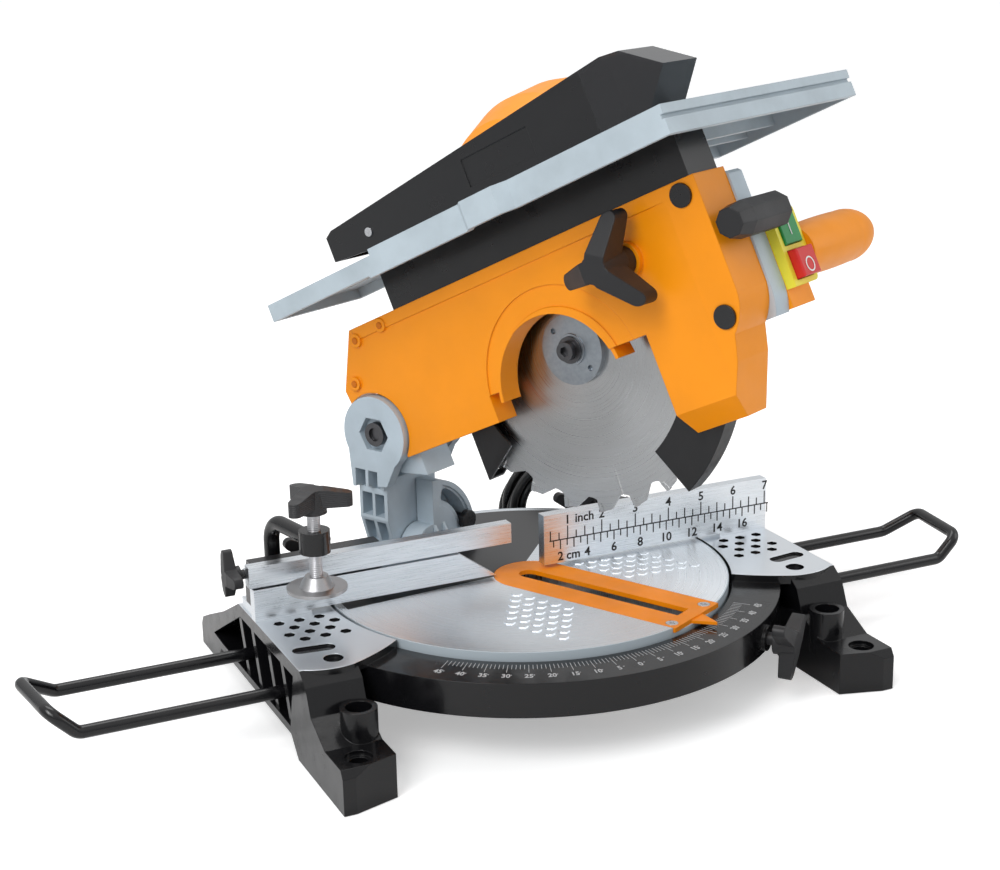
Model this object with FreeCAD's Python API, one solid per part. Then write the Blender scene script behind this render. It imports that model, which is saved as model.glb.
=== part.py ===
import FreeCAD, Part
import math
import os

# Mitre saw with an upper table, in millimetres.
# Global frame: origin at the centre of the four bench bolts, on the bench; X to the user's right, Y away
# from the user, Z up. Saw frame: turned with the turntable, x to the right of the kerf, y along it.
# Head frame: origin on the hinge, x to the right, y along the upper table to the rear, z square to it.

V = FreeCAD.Vector
X_AXIS = V(1, 0, 0)
Y_AXIS = V(0, 1, 0)
Z_AXIS = V(0, 0, 1)
DIRECTION = {"x": X_AXIS, "y": Y_AXIS, "z": Z_AXIS}

# Settings of the saw as photographed
MITRE_ANGLE = 27.65
HEAD_RAISE = 25.0

# Clearances
RUN_GAP = 0.05
SLIDE_GAP = 0.3
BODY_GAP = 0.3

# Base casting
BASE_HALF_WIDTH = 184.5
FRONT_HOLE_Y = -135.6
REAR_HOLE_Y = 112.0
FOOT_HOLE_X = BASE_HALF_WIDTH - 14.9
FOOT_HOLE_RADIUS = 5.5
FOOT_COUNTERBORE = 8.0
FOOT_COUNTERBORE_DEPTH = 3.0
SIDE_WIDTH = 35.0
SHOULDER_TOP = 61.0
SHOULDER_THICK = 6.0
SCALE_TOP = 56.0
LEDGE_THICK = 5.0
RING_RADIUS = 165.0
RING_BOTTOM = 34.5
RING_WALL = 5.0
WELL_RADIUS = 134.0
WELL_WALL = 4.0
FLOOR_THICK = 4.0
REAR_RING_TOP = 44.0
FOOT_TOP = 27.0
SOCKET_X = BASE_HALF_WIDTH - 24.8
SOCKET_Y = -111.5
SOCKET_TOP = 45.5
SOCKET_RADIUS = 11.0
SOCKET_BORE = 7.75
SOCKET_DEPTH = 20.0
PIVOT_RADIUS = 6.0
HUB_RADIUS = 24.0

# Hexagon pattern
HEX_SIZE = 3.7
HEX_PITCH = 13.0
HEX_ROW = 10.0
HEX_DEPTH = 1.5
PAD_HEIGHT = 0.6

# Fence
FENCE_THICK = 8.0
FENCE_TOP = 97.7
FENCE_LIFT = 2.5
FENCE_STEP_X = BASE_HALF_WIDTH - 36.5
RIGHT_FENCE_END = 13.6
LEFT_FENCE_END = -47.0
LEFT_FENCE_TIP = -21.6
LEFT_FENCE_TOP = 82.0
STRIP_BOTTOM = 83.5
STRIP_TOP = 97.0
STRIP_LEFT = -(BASE_HALF_WIDTH + 2.5)
STRIP_RIGHT = -10.0
STRIP_RIB = 4.0
STRIP_RIB_RIGHT = STRIP_RIGHT - 14.0
STRIP_RIB_DEPTH = 5.0
RAIL_DEPTH = 14.0
RAIL_RIGHT = -98.0
RAIL_BOTTOM = 66.0
FENCE_FOOT_DEPTH = 30.0
FENCE_FOOT_THICK = 7.0
FENCE_SCREW_RADIUS = 3.0
FENCE_HEAD_RADIUS = 5.0
FENCE_HEAD_HEIGHT = 5.0

# Turntable
TABLE_GAP = 2.0
TABLE_RADIUS = WELL_RADIUS - TABLE_GAP
TABLE_TOP = 61.0
TABLE_THICK = 6.0
TABLE_SKIRT = 6.0
KERF_HALF = 25.0
KERF_REAR = 20.0
KERF_FRONT = -(TABLE_RADIUS - 1.0)
KERF_THICK = 3.0
KERF_SLOT_HALF = 6.5
KERF_SLOT_REAR = 4.0
KERF_SLOT_FRONT = KERF_FRONT + 10.0
CHANNEL_HALF = 14.0
CHANNEL_BOTTOM = 46.0
POINTER_TIP = KERF_FRONT - 14.4
KERF_SCREW_X = 18.5
KERF_SCREW_Y = KERF_FRONT + 6.5
NOTCH_HALF = 54.0
RIM_THICK = 3.5

# Bevel bracket and arm
BEVEL_Z = 61.0
BRACKET_FRONT = TABLE_RADIUS - 52.0
BRACKET_THICK = 14.5
NOTCH_FRONT = BRACKET_FRONT + BRACKET_THICK + BODY_GAP
BRACKET_RADIUS = 47.8
BRACKET_LEFT = 3.0
SLOT_RADIUS = 38.2
SLOT_HALF = 4.3
CLAMP_ANGLE = 17.0
BEVEL_TRAVEL = 45.0
CLAMP_BOLT_RADIUS = 4.0
DOME_RADIUS = 7.0
BEVEL_BOLT_RADIUS = 8.0
BEVEL_HEAD = 10.5
BEVEL_HEAD_DEPTH = 3.0
ARM_FRONT = NOTCH_FRONT + 0.5
ARM_REAR = ARM_FRONT + 24.7
ARM_KNOB_Y = ARM_REAR + 13.0
ARM_LEFT = -26.0
ARM_RIGHT = 24.0
ARM_SHELF = 85.0
FLANGE_THICK = 10.0
BOSS_RADIUS = 20.0

# Head hinge
HINGE_Y = ARM_FRONT + 4.7
HINGE_Z = 146.7
EAR_RADIUS = 26.0
EAR_OUTER = 32.0
EAR_THICK = 8.0
HINGE_BOLT_RADIUS = 6.0
KNUCKLE_RADIUS = 22.0
KNUCKLE_RIGHT = 8.0
CAP_HEX = 12.5
CAP_HEX_DEPTH = 5.0
HINGE_BLOCK = [(-24, -37.5), (-2, -30), (2, -10), (-20, 10), (-24, 10)]
HINGE_BLOCK_SPAN = (-22.0, 6.0)
HINGE_BLOCK_GAP = 1.0

# Head casting and blade drive, head frame
WEB_LEFT = 7.0
WEB_THICK = 15.0
WEB_FRONT = -300.0
WEB_BOTTOM = -21.0
WEB_TOP = 67.0
POST_FRONT = -262.0
POST_REAR = -226.0
POST_BOSS = 8.0
POST_OUT = 6.5
CASE_WALL = 3.0
CASE_RIGHT = 41.0
ARBOR_Y = -159.3
ARBOR_Z = 4.6
ARBOR_RADIUS = 8.0
ARBOR_CASE = 30.0
MOTOR_Y = -100.0
MOTOR_Z = 116.0
MOTOR_CASE = 25.0
MOTOR_SHAFT = 6.0
MOTOR_LEFT = 45.0
MOTOR_RIGHT = 172.0
BLADE_RADIUS = 105.0
BLADE_ROOT = 97.0
BLADE_TEETH = 24
BLADE_LEFT = -1.3
BLADE_THICK = 1.8
TOOTH_WIDTH = 2.6
FLANGE_RADIUS = 22.4
OUTER_FLANGE = 4.1
INNER_FLANGE = 2.7
BEARING_OUTER = 16.0
BEARING_WIDTH = 6.0
BLADE_PULLEY = 20.0
MOTOR_PULLEY = 14.0
PULLEY_WIDTH = 12.0
BELT_THICK = 3.0

# Guards, head frame
GUARD_INNER = 83.0
GUARD_OUTER = 115.0
GUARD_LEFT = -8.0
GUARD_RIGHT = 5.7
GUARD_WALL = 2.0
GUARD_START = 125.0
GUARD_END = 246.0
GUARD_HUB = 30.0
REAR_GUARD_START = -31.0
REAR_GUARD_END = 10.0

# Blade cover, head frame
COVER_LEFT = -28.0
COVER_WALL = 2.5
COVER_TOP = 70.0
ARCH_Y = -158.0
ARCH_Z = -16.0
ARCH_RADIUS = 46.5
ARCH_SETBACK = -9.5
RELIEF_RADIUS = 60.0
RELIEF_DEPTH = 1.0
LIP_Z = 62.0
LIP_PROUD = 1.0
PLUG_RADIUS = 7.0
PLUG_DEPTH = 1.5
PLUG_SPOTS = [(-287, 61.5), (-286, -11)]
COVER_SCREW_SPOTS = [(-12.7, 62), (-37.9, 64.7), (1.8, 36)]
COVER_FRONT = -298.6
COVER_FOOT = -68.6
COVER_NOTCH_Y = -231.6
COVER_CHAMFER = 14.2

# Upper table, head frame
TOP_Z = 107.0
TOP_THICK = 5.0
TOP_EDGE = 17.0
TOP_WALL = 4.0
TOP_LEFT = -66.0
TOP_RIGHT = 148.0
TOP_FRONT = -320.0
TOP_REAR = 15.0
TOP_STEP_Y = -85.0
TOP_STEP = 4.0
TOP_TONGUE = 19.5
TOP_CUT_Y = -212.0
TOP_BULGE = 7.0
SAW_SLOT_LEFT = -10.5
SAW_SLOT_RIGHT = 8.5
SAW_SLOT_FRONT = -284.0
SAW_SLOT_REAR = -28.0
SKIRT_FRONT = -295.0
SKIRT_REAR = -50.0
SKIRT_WALL = 2.0
SKIRT_BOTTOM = 34.0
TABLE_TRAVEL = 22.0
TABLE_KNOB_Y = -238.0
TABLE_KNOB_Z = 40.0
TABLE_SCREW_RADIUS = 4.0
POST_RADIUS = 6.0

# Hood, head frame
HOOD_HALF = 18.0
HOOD_WALL = 2.0
HOOD_JOIN = -245.0
KNIFE_THICK = 1.8
HOOD_PIN_Y = -48.0
HOOD_PIN_Z = 124.0
HOOD_PIN_RADIUS = 3.0

# Switch and handle, head frame
HOUSING_RIGHT = 51.0
HOUSING_REAR = -270.0
HOUSING_BOTTOM = -20.0
HOUSING_TOP = 46.0
SWITCH_WIDTH = 27.7
SWITCH_BOTTOM = -9.0
SWITCH_TOP = 38.0
SWITCH_PROUD = 6.5
SWITCH_DEPTH = 13.0
SWITCH_BORDER = 2.0
BUTTON_WIDTH = 19.0
ON_HEIGHT = 19.0
OFF_HEIGHT = 17.0
ON_PROUD = 1.5
OFF_PROUD = 6.0
BUTTON_GAP = 0.4
BUTTON_TRAVEL = 3.0
BUTTON_DEPTH = 9.0
GRIP_Y = -295.0
GRIP_Z = 11.0
GRIP_RADIUS = 16.6
GRIP_LENGTH = 92.0
GRIP_STATIONS = [
    (0.0, 0.93), (0.33, 1.0), (0.66, 0.98), (0.84, 0.85), (0.95, 0.55), (0.975, 0.42), (0.99, 0.25),
]
LOCK_Y = -312.0
LOCK_Z = 36.5
LOCK_RADIUS = 11.0
LOCK_STEM = 4.0
LOCK_TRAVEL = 10.0

# Knobs on the base
MITRE_KNOB_ANGLE = 38.0
MITRE_KNOB_Z = 43.5
MITRE_KNOB_REACH = RING_RADIUS + 7.0
CLAMP_POST_X = -(BASE_HALF_WIDTH - 21.5)
CLAMP_POST_Y = 27.0
CLAMP_POST_RADIUS = 5.0
CLAMP_X = CLAMP_POST_X + 11.0
CLAMP_Y = -25.0
CLAMP_EYE_Z = 117.0
CLAMP_SPINDLE = 4.0
CLAMP_PLATE_Z = 86.0
CLAMP_PLATE_RADIUS = 18.5
CLAMP_KNOB_Z = 135.0
CLAMP_GRIP = 10.0
CLAMP_DROP = 14.0
POST_BOSS_HEIGHT = 6.0

# Support wires
WIRE_RADIUS = 4.0
WIRE_FRONT_Y = -38.0
WIRE_REAR_Y = 27.0
WIRE_Z = 30.0
WIRE_REACH = BASE_HALF_WIDTH + 125.5
WIRE_INNER = BASE_HALF_WIDTH - 34.5
WIRE_RISE = 15.0

# Cord
CORD_RADIUS = 3.1
CORD_EXIT_X = -80.0
CORD_EXIT_Z = 30.0
CORD_EXIT_OUT = 6.0
GLAND_LENGTH = 24.0
COIL_X = 100.0
COIL_Y = 158.0
COIL_INNER = 24.6
COIL_PITCH = 6.7
COIL_END = 8.0
COIL_TURNS = 2
COIL_LAYERS = 4
COIL_FLOOR_GAP = 0.3
PLUG_HALF_THICK = 9.0

BENCH = FreeCAD.Placement(V(0, -(FRONT_HOLE_Y + REAR_HOLE_Y) / 2, 0), FreeCAD.Rotation())
SAW = BENCH * FreeCAD.Placement(V(0, 0, 0), FreeCAD.Rotation(Z_AXIS, MITRE_ANGLE))
HEAD = SAW * FreeCAD.Placement(V(0, HINGE_Y, HINGE_Z), FreeCAD.Rotation(X_AXIS, -HEAD_RAISE))
FLOOR_TOP = RING_BOTTOM + FLOOR_THICK
WEB_RIGHT = WEB_LEFT + WEB_THICK
ARBOR = (ARBOR_Y, ARBOR_Z)
MOTOR = (MOTOR_Y, MOTOR_Z)
HINGE = (0.0, 0.0)


# Building blocks
def point(axis, pair, level):
    """Point on the plane square to an axis; the pair is its other two coordinates in order."""
    first, second = pair
    if axis == "x":
        return V(level, first, second)
    if axis == "y":
        return V(first, level, second)
    return V(first, second, level)


def block(x, y, z):
    """Box between two limits on each axis."""
    return Part.makeBox(x[1] - x[0], y[1] - y[0], z[1] - z[0], V(x[0], y[0], z[0]))


def rod(axis, centre, span, radius):
    """Round bar along an axis, between two levels."""
    return Part.makeCylinder(radius, span[1] - span[0], point(axis, centre, span[0]), DIRECTION[axis])


def tube(axis, centre, span, outer, inner):
    """Round tube along an axis."""
    return rod(axis, centre, span, outer).cut(rod(axis, centre, span, inner))


def cone(axis, centre, span, first, last):
    """Tapered round bar along an axis."""
    return Part.makeCone(first, last, span[1] - span[0], point(axis, centre, span[0]), DIRECTION[axis])


def polar(centre, radius, degrees):
    """Point at an angle on a circle."""
    angle = math.radians(degrees)
    return (centre[0] + radius * math.cos(angle), centre[1] + radius * math.sin(angle))


def arc_to(centre, radius, start, end):
    """Arc item of an outline: the middle and the end of a stretch of a circle."""
    return polar(centre, radius, (start + end) / 2) + polar(centre, radius, end)


def outline(axis, corners, level):
    """Closed wire; an item of two numbers is a corner, one of four an arc through its first pair."""
    start = point(axis, corners[0], level)
    here = start
    edges = []
    for item in corners[1:] + [corners[0]]:
        end = point(axis, item[-2:], level)
        if end.distanceToPoint(here) > 1e-6:
            if len(item) == 4:
                edges.append(Part.Arc(here, point(axis, item[:2], level), end).toShape())
            else:
                edges.append(Part.LineSegment(here, end).toShape())
        here = end
    return Part.Wire(edges)


def slab(axis, corners, span):
    """Flat piece with a given outline, between two levels on an axis."""
    face = Part.Face(outline(axis, corners, span[0]))
    return face.extrude(DIRECTION[axis] * (span[1] - span[0]))


def sector(axis, centre, radii, angles, span):
    """Part of a ring between two angles."""
    corners = [
        polar(centre, radii[1], angles[0]),
        arc_to(centre, radii[1], angles[0], angles[1]),
        polar(centre, radii[0], angles[1]),
        arc_to(centre, radii[0], angles[1], angles[0]),
    ]
    return slab(axis, corners, span)


def strap_outline(a, a_radius, b, b_radius):
    """Outline round two circles, joined by their outer tangents."""
    run = math.hypot(b[0] - a[0], b[1] - a[1])
    base = math.degrees(math.atan2(b[1] - a[1], b[0] - a[0]))
    lean = math.degrees(math.acos((a_radius - b_radius) / run))
    return [
        polar(a, a_radius, base + lean),
        arc_to(a, a_radius, base + lean, base + 360 - lean),
        polar(b, b_radius, base - lean),
        arc_to(b, b_radius, base - lean, base + lean),
    ]


def strap(axis, a, a_radius, b, b_radius, span):
    """Flat piece whose outline goes round two circles."""
    return slab(axis, strap_outline(a, a_radius, b, b_radius), span)


def hexagon(centre, radius):
    """Corners of a hexagon with two flats along the first direction."""
    return [polar(centre, radius, 60 * corner) for corner in range(6)]


def fuse(shapes):
    """One solid from overlapping ones."""
    first, rest = shapes[0], shapes[1:]
    return first.multiFuse(rest).removeSplitter() if rest else first


def cut(shape, tools):
    """A solid less several others."""
    return shape.cut(Part.makeCompound(tools))


def aim(shape, at, direction, turn=0.0):
    """Move a piece built round +Z so that it points along a direction from a place."""
    lie = FreeCAD.Rotation(Z_AXIS, direction) * FreeCAD.Rotation(Z_AXIS, turn)
    return shape.transformed(FreeCAD.Placement(at, lie).toMatrix())


def mirror_x(shape):
    """The other side's copy."""
    return shape.mirror(V(0, 0, 0), X_AXIS)


def both_sides(shape):
    """A piece and its mirror image."""
    return [shape, mirror_x(shape)]


def arc_chain(points):
    """Path of straight runs joined by arcs as large as the runs allow; gives the edges and the radii."""
    edges = []
    radii = []
    here = points[0]
    for index in range(1, len(points) - 1):
        before = points[index] - points[index - 1]
        after = points[index + 1] - points[index]
        turn = before.getAngle(after)
        reach = 0.45 * min(before.Length, after.Length)
        radii.append(reach / math.tan(turn / 2))
        first = points[index] - before.normalize() * reach
        last = points[index] + after.normalize() * reach
        chord = (first + last) * 0.5
        inward = (chord - points[index]).normalize()
        depth = radii[-1] / math.cos(turn / 2) - radii[-1]
        edges.append(Part.LineSegment(here, first).toShape())
        edges.append(Part.Arc(first, points[index] + inward * depth, last).toShape())
        here = last
    edges.append(Part.LineSegment(here, points[-1]).toShape())
    return edges, radii


def sweep(edges, radius):
    """Round tube along a chain of edges."""
    path = Part.Wire(edges)
    start = edges[0].firstVertex().Point
    direction = edges[0].tangentAt(edges[0].FirstParameter)
    circle = Part.Wire([Part.Circle(start, direction, radius).toShape()])
    return path.makePipeShell([circle], True, False)


def round_bend(points, bend):
    """Path of straight runs joined by arcs of one radius."""
    edges = []
    here = points[0]
    for index in range(1, len(points) - 1):
        before = (points[index] - points[index - 1]).normalize()
        after = (points[index + 1] - points[index]).normalize()
        half = before.getAngle(after) / 2
        first = points[index] - before * (bend * math.tan(half))
        last = points[index] + after * (bend * math.tan(half))
        inward = (after - before).normalize()
        middle = points[index] + inward * (bend / math.cos(half) - bend)
        edges.append(Part.LineSegment(here, first).toShape())
        edges.append(Part.Arc(first, middle, last).toShape())
        here = last
    edges.append(Part.LineSegment(here, points[-1]).toShape())
    return edges


def three_arm_knob(hub, reach, height, arm_width=10.0, sweep_back=0.0, collar=0.0):
    """Knob with three tapered arms round +Z, its base at the origin; the arms may sweep back."""
    body = cone("z", (0, 0), (0, height), hub, hub * 0.8)
    arms = [body]
    for arm in range(3):
        tip = arm_width * 0.36
        plan = [
            (0, -arm_width / 2),
            (reach - tip, -tip),
            (reach, 0, reach - tip, tip),
            (0, arm_width / 2),
        ]
        low = height * 0.25
        side = [
            (0, low),
            (reach, low - sweep_back),
            (reach, height * 0.8 - sweep_back),
            (hub * 0.8, height),
            (0, height),
        ]
        blade = slab("z", plan, (low - sweep_back - 1, height + 1))
        blade = blade.common(slab("y", side, (-arm_width, arm_width)))
        arms.append(blade.rotate(V(0, 0, 0), Z_AXIS, 120 * arm))
    if collar:
        arms.append(cone("z", (0, 0), (-collar, 0), hub * 1.05, hub))
    return fuse(arms)


def save(name, shape, frame):
    """Write one piece, or a group of like pieces, in the global frame."""
    shape.transformed(frame.toMatrix()).exportStep("parts/" + name + ".step")


# Base
def gland_seat():
    """Rear face of the cable boss, which stands out of the ring wall."""
    return math.sqrt(RING_RADIUS ** 2 - CORD_EXIT_X ** 2) + CORD_EXIT_OUT


def side_block():
    """Right shoulder with its front and rear legs, open along the outside between its ribs."""
    inner = BASE_HALF_WIDTH - SIDE_WIDTH
    rear = REAR_HOLE_Y + 18
    profile = [
        (-82, SHOULDER_TOP),
        (36, SHOULDER_TOP),
        (72, 43),
        (rear - 22, 28),
        (rear - 4, 20),
        (rear, 14),
        (rear, 0),
        (rear - 34, 0),
        (rear - 46, 12),
        (-60, 12),
        (-72, 0),
        (-150, 0),
        (-150, FOOT_TOP - 5),
        (-147, FOOT_TOP),
        (-121, FOOT_TOP),
        (-99, 38),
        (-92, 54),
    ]
    body = slab("x", profile, (inner, BASE_HALF_WIDTH))
    foot = [
        (inner - 3, -141),
        (BASE_HALF_WIDTH - 3, -151.4),
        (BASE_HALF_WIDTH + 1.5, -149, BASE_HALF_WIDTH + 1.5, -144),
        (BASE_HALF_WIDTH, -80),
        (inner - 2.5, -80),
    ]
    keep = slab("z", foot, (0, SHOULDER_TOP))
    front = block((inner - 10, BASE_HALF_WIDTH + 5), (-160, -80), (0, SHOULDER_TOP))
    body = body.cut(front.cut(keep))
    pocket = [
        (-70, SHOULDER_TOP - 8),
        (34, SHOULDER_TOP - 8),
        (70, 34),
        (rear - 30, 18),
        (rear - 50, 17),
        (-60, 17),
    ]
    body = body.cut(slab("x", pocket, (inner + RING_WALL, BASE_HALF_WIDTH - 2)))
    window = slab("x", pocket, (BASE_HALF_WIDTH - 5, BASE_HALF_WIDTH))
    ribs = [
        slab("x", [(y, 12), (y + 6, 12), (y + 24, 60), (y + 18, 60)], (inner, BASE_HALF_WIDTH - 1.5))
        for y in (-62, -36, -4, 22)
    ]
    body = body.cut(window)
    return fuse([body] + [rib.common(slab("x", profile, (inner, BASE_HALF_WIDTH))) for rib in ribs])


def shoulder_plate():
    """Top plate of the right shoulder, from the turntable's well to the outer edge."""
    well = WELL_RADIUS
    inner = BASE_HALF_WIDTH - SIDE_WIDTH
    lowest = -math.degrees(math.asin(65 / well))
    highest = math.degrees(math.asin(36 / well))
    corners = [
        polar((0, 0), well, lowest),
        (inner - 12.5, -79, inner + 2.5, -86.5),
        (inner + 18.5, -87.5, BASE_HALF_WIDTH, -80.5),
        (BASE_HALF_WIDTH, 36),
        polar((0, 0), well, highest),
        arc_to((0, 0), well, highest, lowest),
    ]
    return slab("z", corners, (SHOULDER_TOP - SHOULDER_THICK, SHOULDER_TOP))


def hexagon_rows(rows, columns, origin, lean):
    """Centres of hexagons in staggered rows."""
    return [
        (origin[0] + column * HEX_PITCH + row * lean, origin[1] - row * HEX_ROW)
        for row in range(rows)
        for column in range(columns)
    ]


def shoulder_details():
    """Recesses of the right shoulder: hexagons, a round screw recess and a long one."""
    cutters = []
    for centre in hexagon_rows(4, 6, (WELL_RADIUS - 14, -8), HEX_PITCH / 2):
        clear_of_well = math.hypot(centre[0], centre[1]) > WELL_RADIUS + 6
        clear_of_edge = centre[0] < BASE_HALF_WIDTH - 7
        clear_of_slot = centre[1] > -48
        if clear_of_well and clear_of_edge and clear_of_slot:
            span = (SHOULDER_TOP - HEX_DEPTH, SHOULDER_TOP + 1)
            cutters.append(slab("z", hexagon(centre, HEX_SIZE), span))
    round_spot = (BASE_HALF_WIDTH - 24.2, -73.3)
    slot_ends = ((BASE_HALF_WIDTH - 26.5, -56), (BASE_HALF_WIDTH - 10.5, -54))
    cutters.append(rod("z", round_spot, (SHOULDER_TOP - 2.5, SHOULDER_TOP + 1), 6.0))
    cutters.append(
        strap("z", slot_ends[0], 5.0, slot_ends[1], 5.0, (SHOULDER_TOP - HEX_DEPTH, SHOULDER_TOP + 1))
    )
    return cutters


def base_casting():
    """Ring with the mitre scale, floor, shoulders, legs and feet, one casting."""
    middle = (0, 0)
    solids = [
        tube("z", middle, (RING_BOTTOM, SCALE_TOP), RING_RADIUS, RING_RADIUS - RING_WALL),
        tube("z", middle, (SCALE_TOP - LEDGE_THICK, SCALE_TOP), RING_RADIUS, WELL_RADIUS),
        tube("z", middle, (RING_BOTTOM, SCALE_TOP), WELL_RADIUS + WELL_WALL, WELL_RADIUS),
        tube("z", middle, (RING_BOTTOM, FLOOR_TOP), RING_RADIUS, PIVOT_RADIUS + RUN_GAP),
    ]
    ring = fuse(solids)
    windows = [
        sector("z", middle, (HUB_RADIUS + 16, WELL_RADIUS - 26), (turn + 8, turn + 52),
               (RING_BOTTOM - 1, FLOOR_TOP + 1))
        for turn in range(0, 360, 60)
    ]
    rear = block((-140, 140), (12, RING_RADIUS + 1), (REAR_RING_TOP, SHOULDER_TOP + 1))
    ring = cut(ring, windows + [rear])
    sides = []
    for part in (side_block(), shoulder_plate()):
        sides.extend(both_sides(part))
    boss = rod("z", (SOCKET_X, SOCKET_Y), (FOOT_TOP - 10, SOCKET_TOP), SOCKET_RADIUS)
    boss_top = SHOULDER_TOP + POST_BOSS_HEIGHT
    post_boss = rod("z", (-CLAMP_POST_X, CLAMP_POST_Y), (SHOULDER_TOP - 30, boss_top), 9.5)
    sides.extend(both_sides(boss))
    sides.extend(both_sides(post_boss))
    body = fuse([ring] + sides)
    well = rod("z", middle, (FLOOR_TOP, SHOULDER_TOP + 1), WELL_RADIUS)
    cutters = [well]
    for tool in shoulder_details():
        cutters.extend(both_sides(tool))
    for y in (FRONT_HOLE_Y, REAR_HOLE_Y):
        hole = rod("z", (FOOT_HOLE_X, y), (-1, FOOT_TOP + 10), FOOT_HOLE_RADIUS)
        cutters.extend(both_sides(hole))
    bore = rod("z", (FOOT_HOLE_X, FRONT_HOLE_Y), (FOOT_TOP - FOOT_COUNTERBORE_DEPTH, FOOT_TOP + 1),
               FOOT_COUNTERBORE)
    socket = rod("z", (SOCKET_X, SOCKET_Y), (SOCKET_TOP - SOCKET_DEPTH, SOCKET_TOP + 1), SOCKET_BORE)
    hole_bottom = SHOULDER_TOP - CLAMP_GRIP - CLAMP_DROP - 0.5
    post_hole = rod("z", (-CLAMP_POST_X, CLAMP_POST_Y), (hole_bottom, boss_top + 1),
                    CLAMP_POST_RADIUS + RUN_GAP)
    for tool in (bore, socket, post_hole):
        cutters.extend(both_sides(tool))
    for y in (WIRE_FRONT_Y, WIRE_REAR_Y):
        hole = rod("x", (y, WIRE_Z), (BASE_HALF_WIDTH - SIDE_WIDTH - 30, BASE_HALF_WIDTH + 6),
                   WIRE_RADIUS + RUN_GAP * 4)
        cutters.extend(both_sides(hole))
    knob_way = V(math.sin(math.radians(MITRE_KNOB_ANGLE)), -math.cos(math.radians(MITRE_KNOB_ANGLE)), 0)
    boss = aim(rod("z", middle, (RING_RADIUS - 14, RING_RADIUS + 2), 8.0), V(0, 0, MITRE_KNOB_Z), knob_way)
    seat = gland_seat()
    cable_boss = block((CORD_EXIT_X - 13, CORD_EXIT_X + 13), (seat - 22, seat),
                       (CORD_EXIT_Z - 13, CORD_EXIT_Z + 10))
    screw_bore = aim(rod("z", middle, (WELL_RADIUS - 5, RING_RADIUS + 6), 4.0 + RUN_GAP),
                     V(0, 0, MITRE_KNOB_Z), knob_way)
    cutters.append(screw_bore)
    return cut(fuse([body, boss, cable_boss]), cutters)


def fence_right():
    """Right fence: face plate with a stepped lower edge and a foot behind it on the shoulder."""
    profile = [
        (RIGHT_FENCE_END, SHOULDER_TOP + FENCE_LIFT),
        (RIGHT_FENCE_END, FENCE_TOP),
        (BASE_HALF_WIDTH, FENCE_TOP),
        (BASE_HALF_WIDTH, SHOULDER_TOP),
        (FENCE_STEP_X, SHOULDER_TOP),
        (FENCE_STEP_X, SHOULDER_TOP + FENCE_LIFT),
    ]
    face = slab("y", profile, (0, FENCE_THICK))
    foot = block((FENCE_STEP_X, BASE_HALF_WIDTH - 1), (0, FENCE_FOOT_DEPTH),
                 (SHOULDER_TOP, SHOULDER_TOP + FENCE_FOOT_THICK))
    foot = foot.cut(rod("z", (-CLAMP_POST_X, CLAMP_POST_Y), (0, FENCE_TOP), 10.0))
    holes = [
        rod("z", (x, FENCE_THICK + 8), (0, FENCE_TOP), FENCE_SCREW_RADIUS + RUN_GAP)
        for x in (FENCE_STEP_X + 5, BASE_HALF_WIDTH - 6)
    ]
    return cut(fuse([face, foot]), holes)


def fence_left():
    """Left fence: low face plate with a slanted end, so that the tilted blade can pass."""
    profile = [
        (-BASE_HALF_WIDTH, SHOULDER_TOP),
        (-BASE_HALF_WIDTH, LEFT_FENCE_TOP),
        (LEFT_FENCE_END, LEFT_FENCE_TOP),
        (LEFT_FENCE_TIP, SHOULDER_TOP + FENCE_LIFT),
        (-FENCE_STEP_X, SHOULDER_TOP + FENCE_LIFT),
        (-FENCE_STEP_X, SHOULDER_TOP),
    ]
    face = slab("y", profile, (0, FENCE_THICK))
    foot = block((-BASE_HALF_WIDTH + 1, -FENCE_STEP_X), (0, FENCE_FOOT_DEPTH),
                 (SHOULDER_TOP, SHOULDER_TOP + FENCE_FOOT_THICK))
    foot = foot.cut(rod("z", (CLAMP_POST_X, CLAMP_POST_Y), (0, FENCE_TOP), 10.0))
    holes = [
        rod("z", (-x, FENCE_THICK + 17), (0, FENCE_TOP), FENCE_SCREW_RADIUS + RUN_GAP)
        for x in (FENCE_STEP_X + 4, BASE_HALF_WIDTH - 6)
    ]
    return cut(fuse([face, foot]), holes)


def fence_rail():
    """Black channel behind the left fence, in which the strip's rib slides."""
    back = FENCE_THICK + RAIL_DEPTH
    rib_top = STRIP_TOP - STRIP_RIB
    rib_bottom = STRIP_BOTTOM + STRIP_RIB
    profile = [
        (FENCE_THICK, SHOULDER_TOP + FENCE_FOOT_THICK),
        (FENCE_THICK, rib_bottom - SLIDE_GAP),
        (FENCE_THICK + STRIP_RIB_DEPTH + SLIDE_GAP, rib_bottom - SLIDE_GAP),
        (FENCE_THICK + STRIP_RIB_DEPTH + SLIDE_GAP, rib_top + SLIDE_GAP),
        (FENCE_THICK + SLIDE_GAP, rib_top + SLIDE_GAP),
        (FENCE_THICK + SLIDE_GAP, STRIP_TOP),
        (back - 3, STRIP_TOP),
        (back, STRIP_TOP - 3),
        (back, SHOULDER_TOP + FENCE_FOOT_THICK),
    ]
    rail = slab("x", profile, (-BASE_HALF_WIDTH + 1, RAIL_RIGHT))
    relief = [
        (back - 1.5, 0),
        (back + 1, 0),
        (back + 1, FENCE_TOP),
        (back - 6, FENCE_TOP),
        (back - 6, STRIP_TOP - 1),
        (back - 1.5, STRIP_TOP - 9),
    ]
    return rail.cut(slab("x", relief, (-BASE_HALF_WIDTH, -FENCE_STEP_X)))


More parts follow.
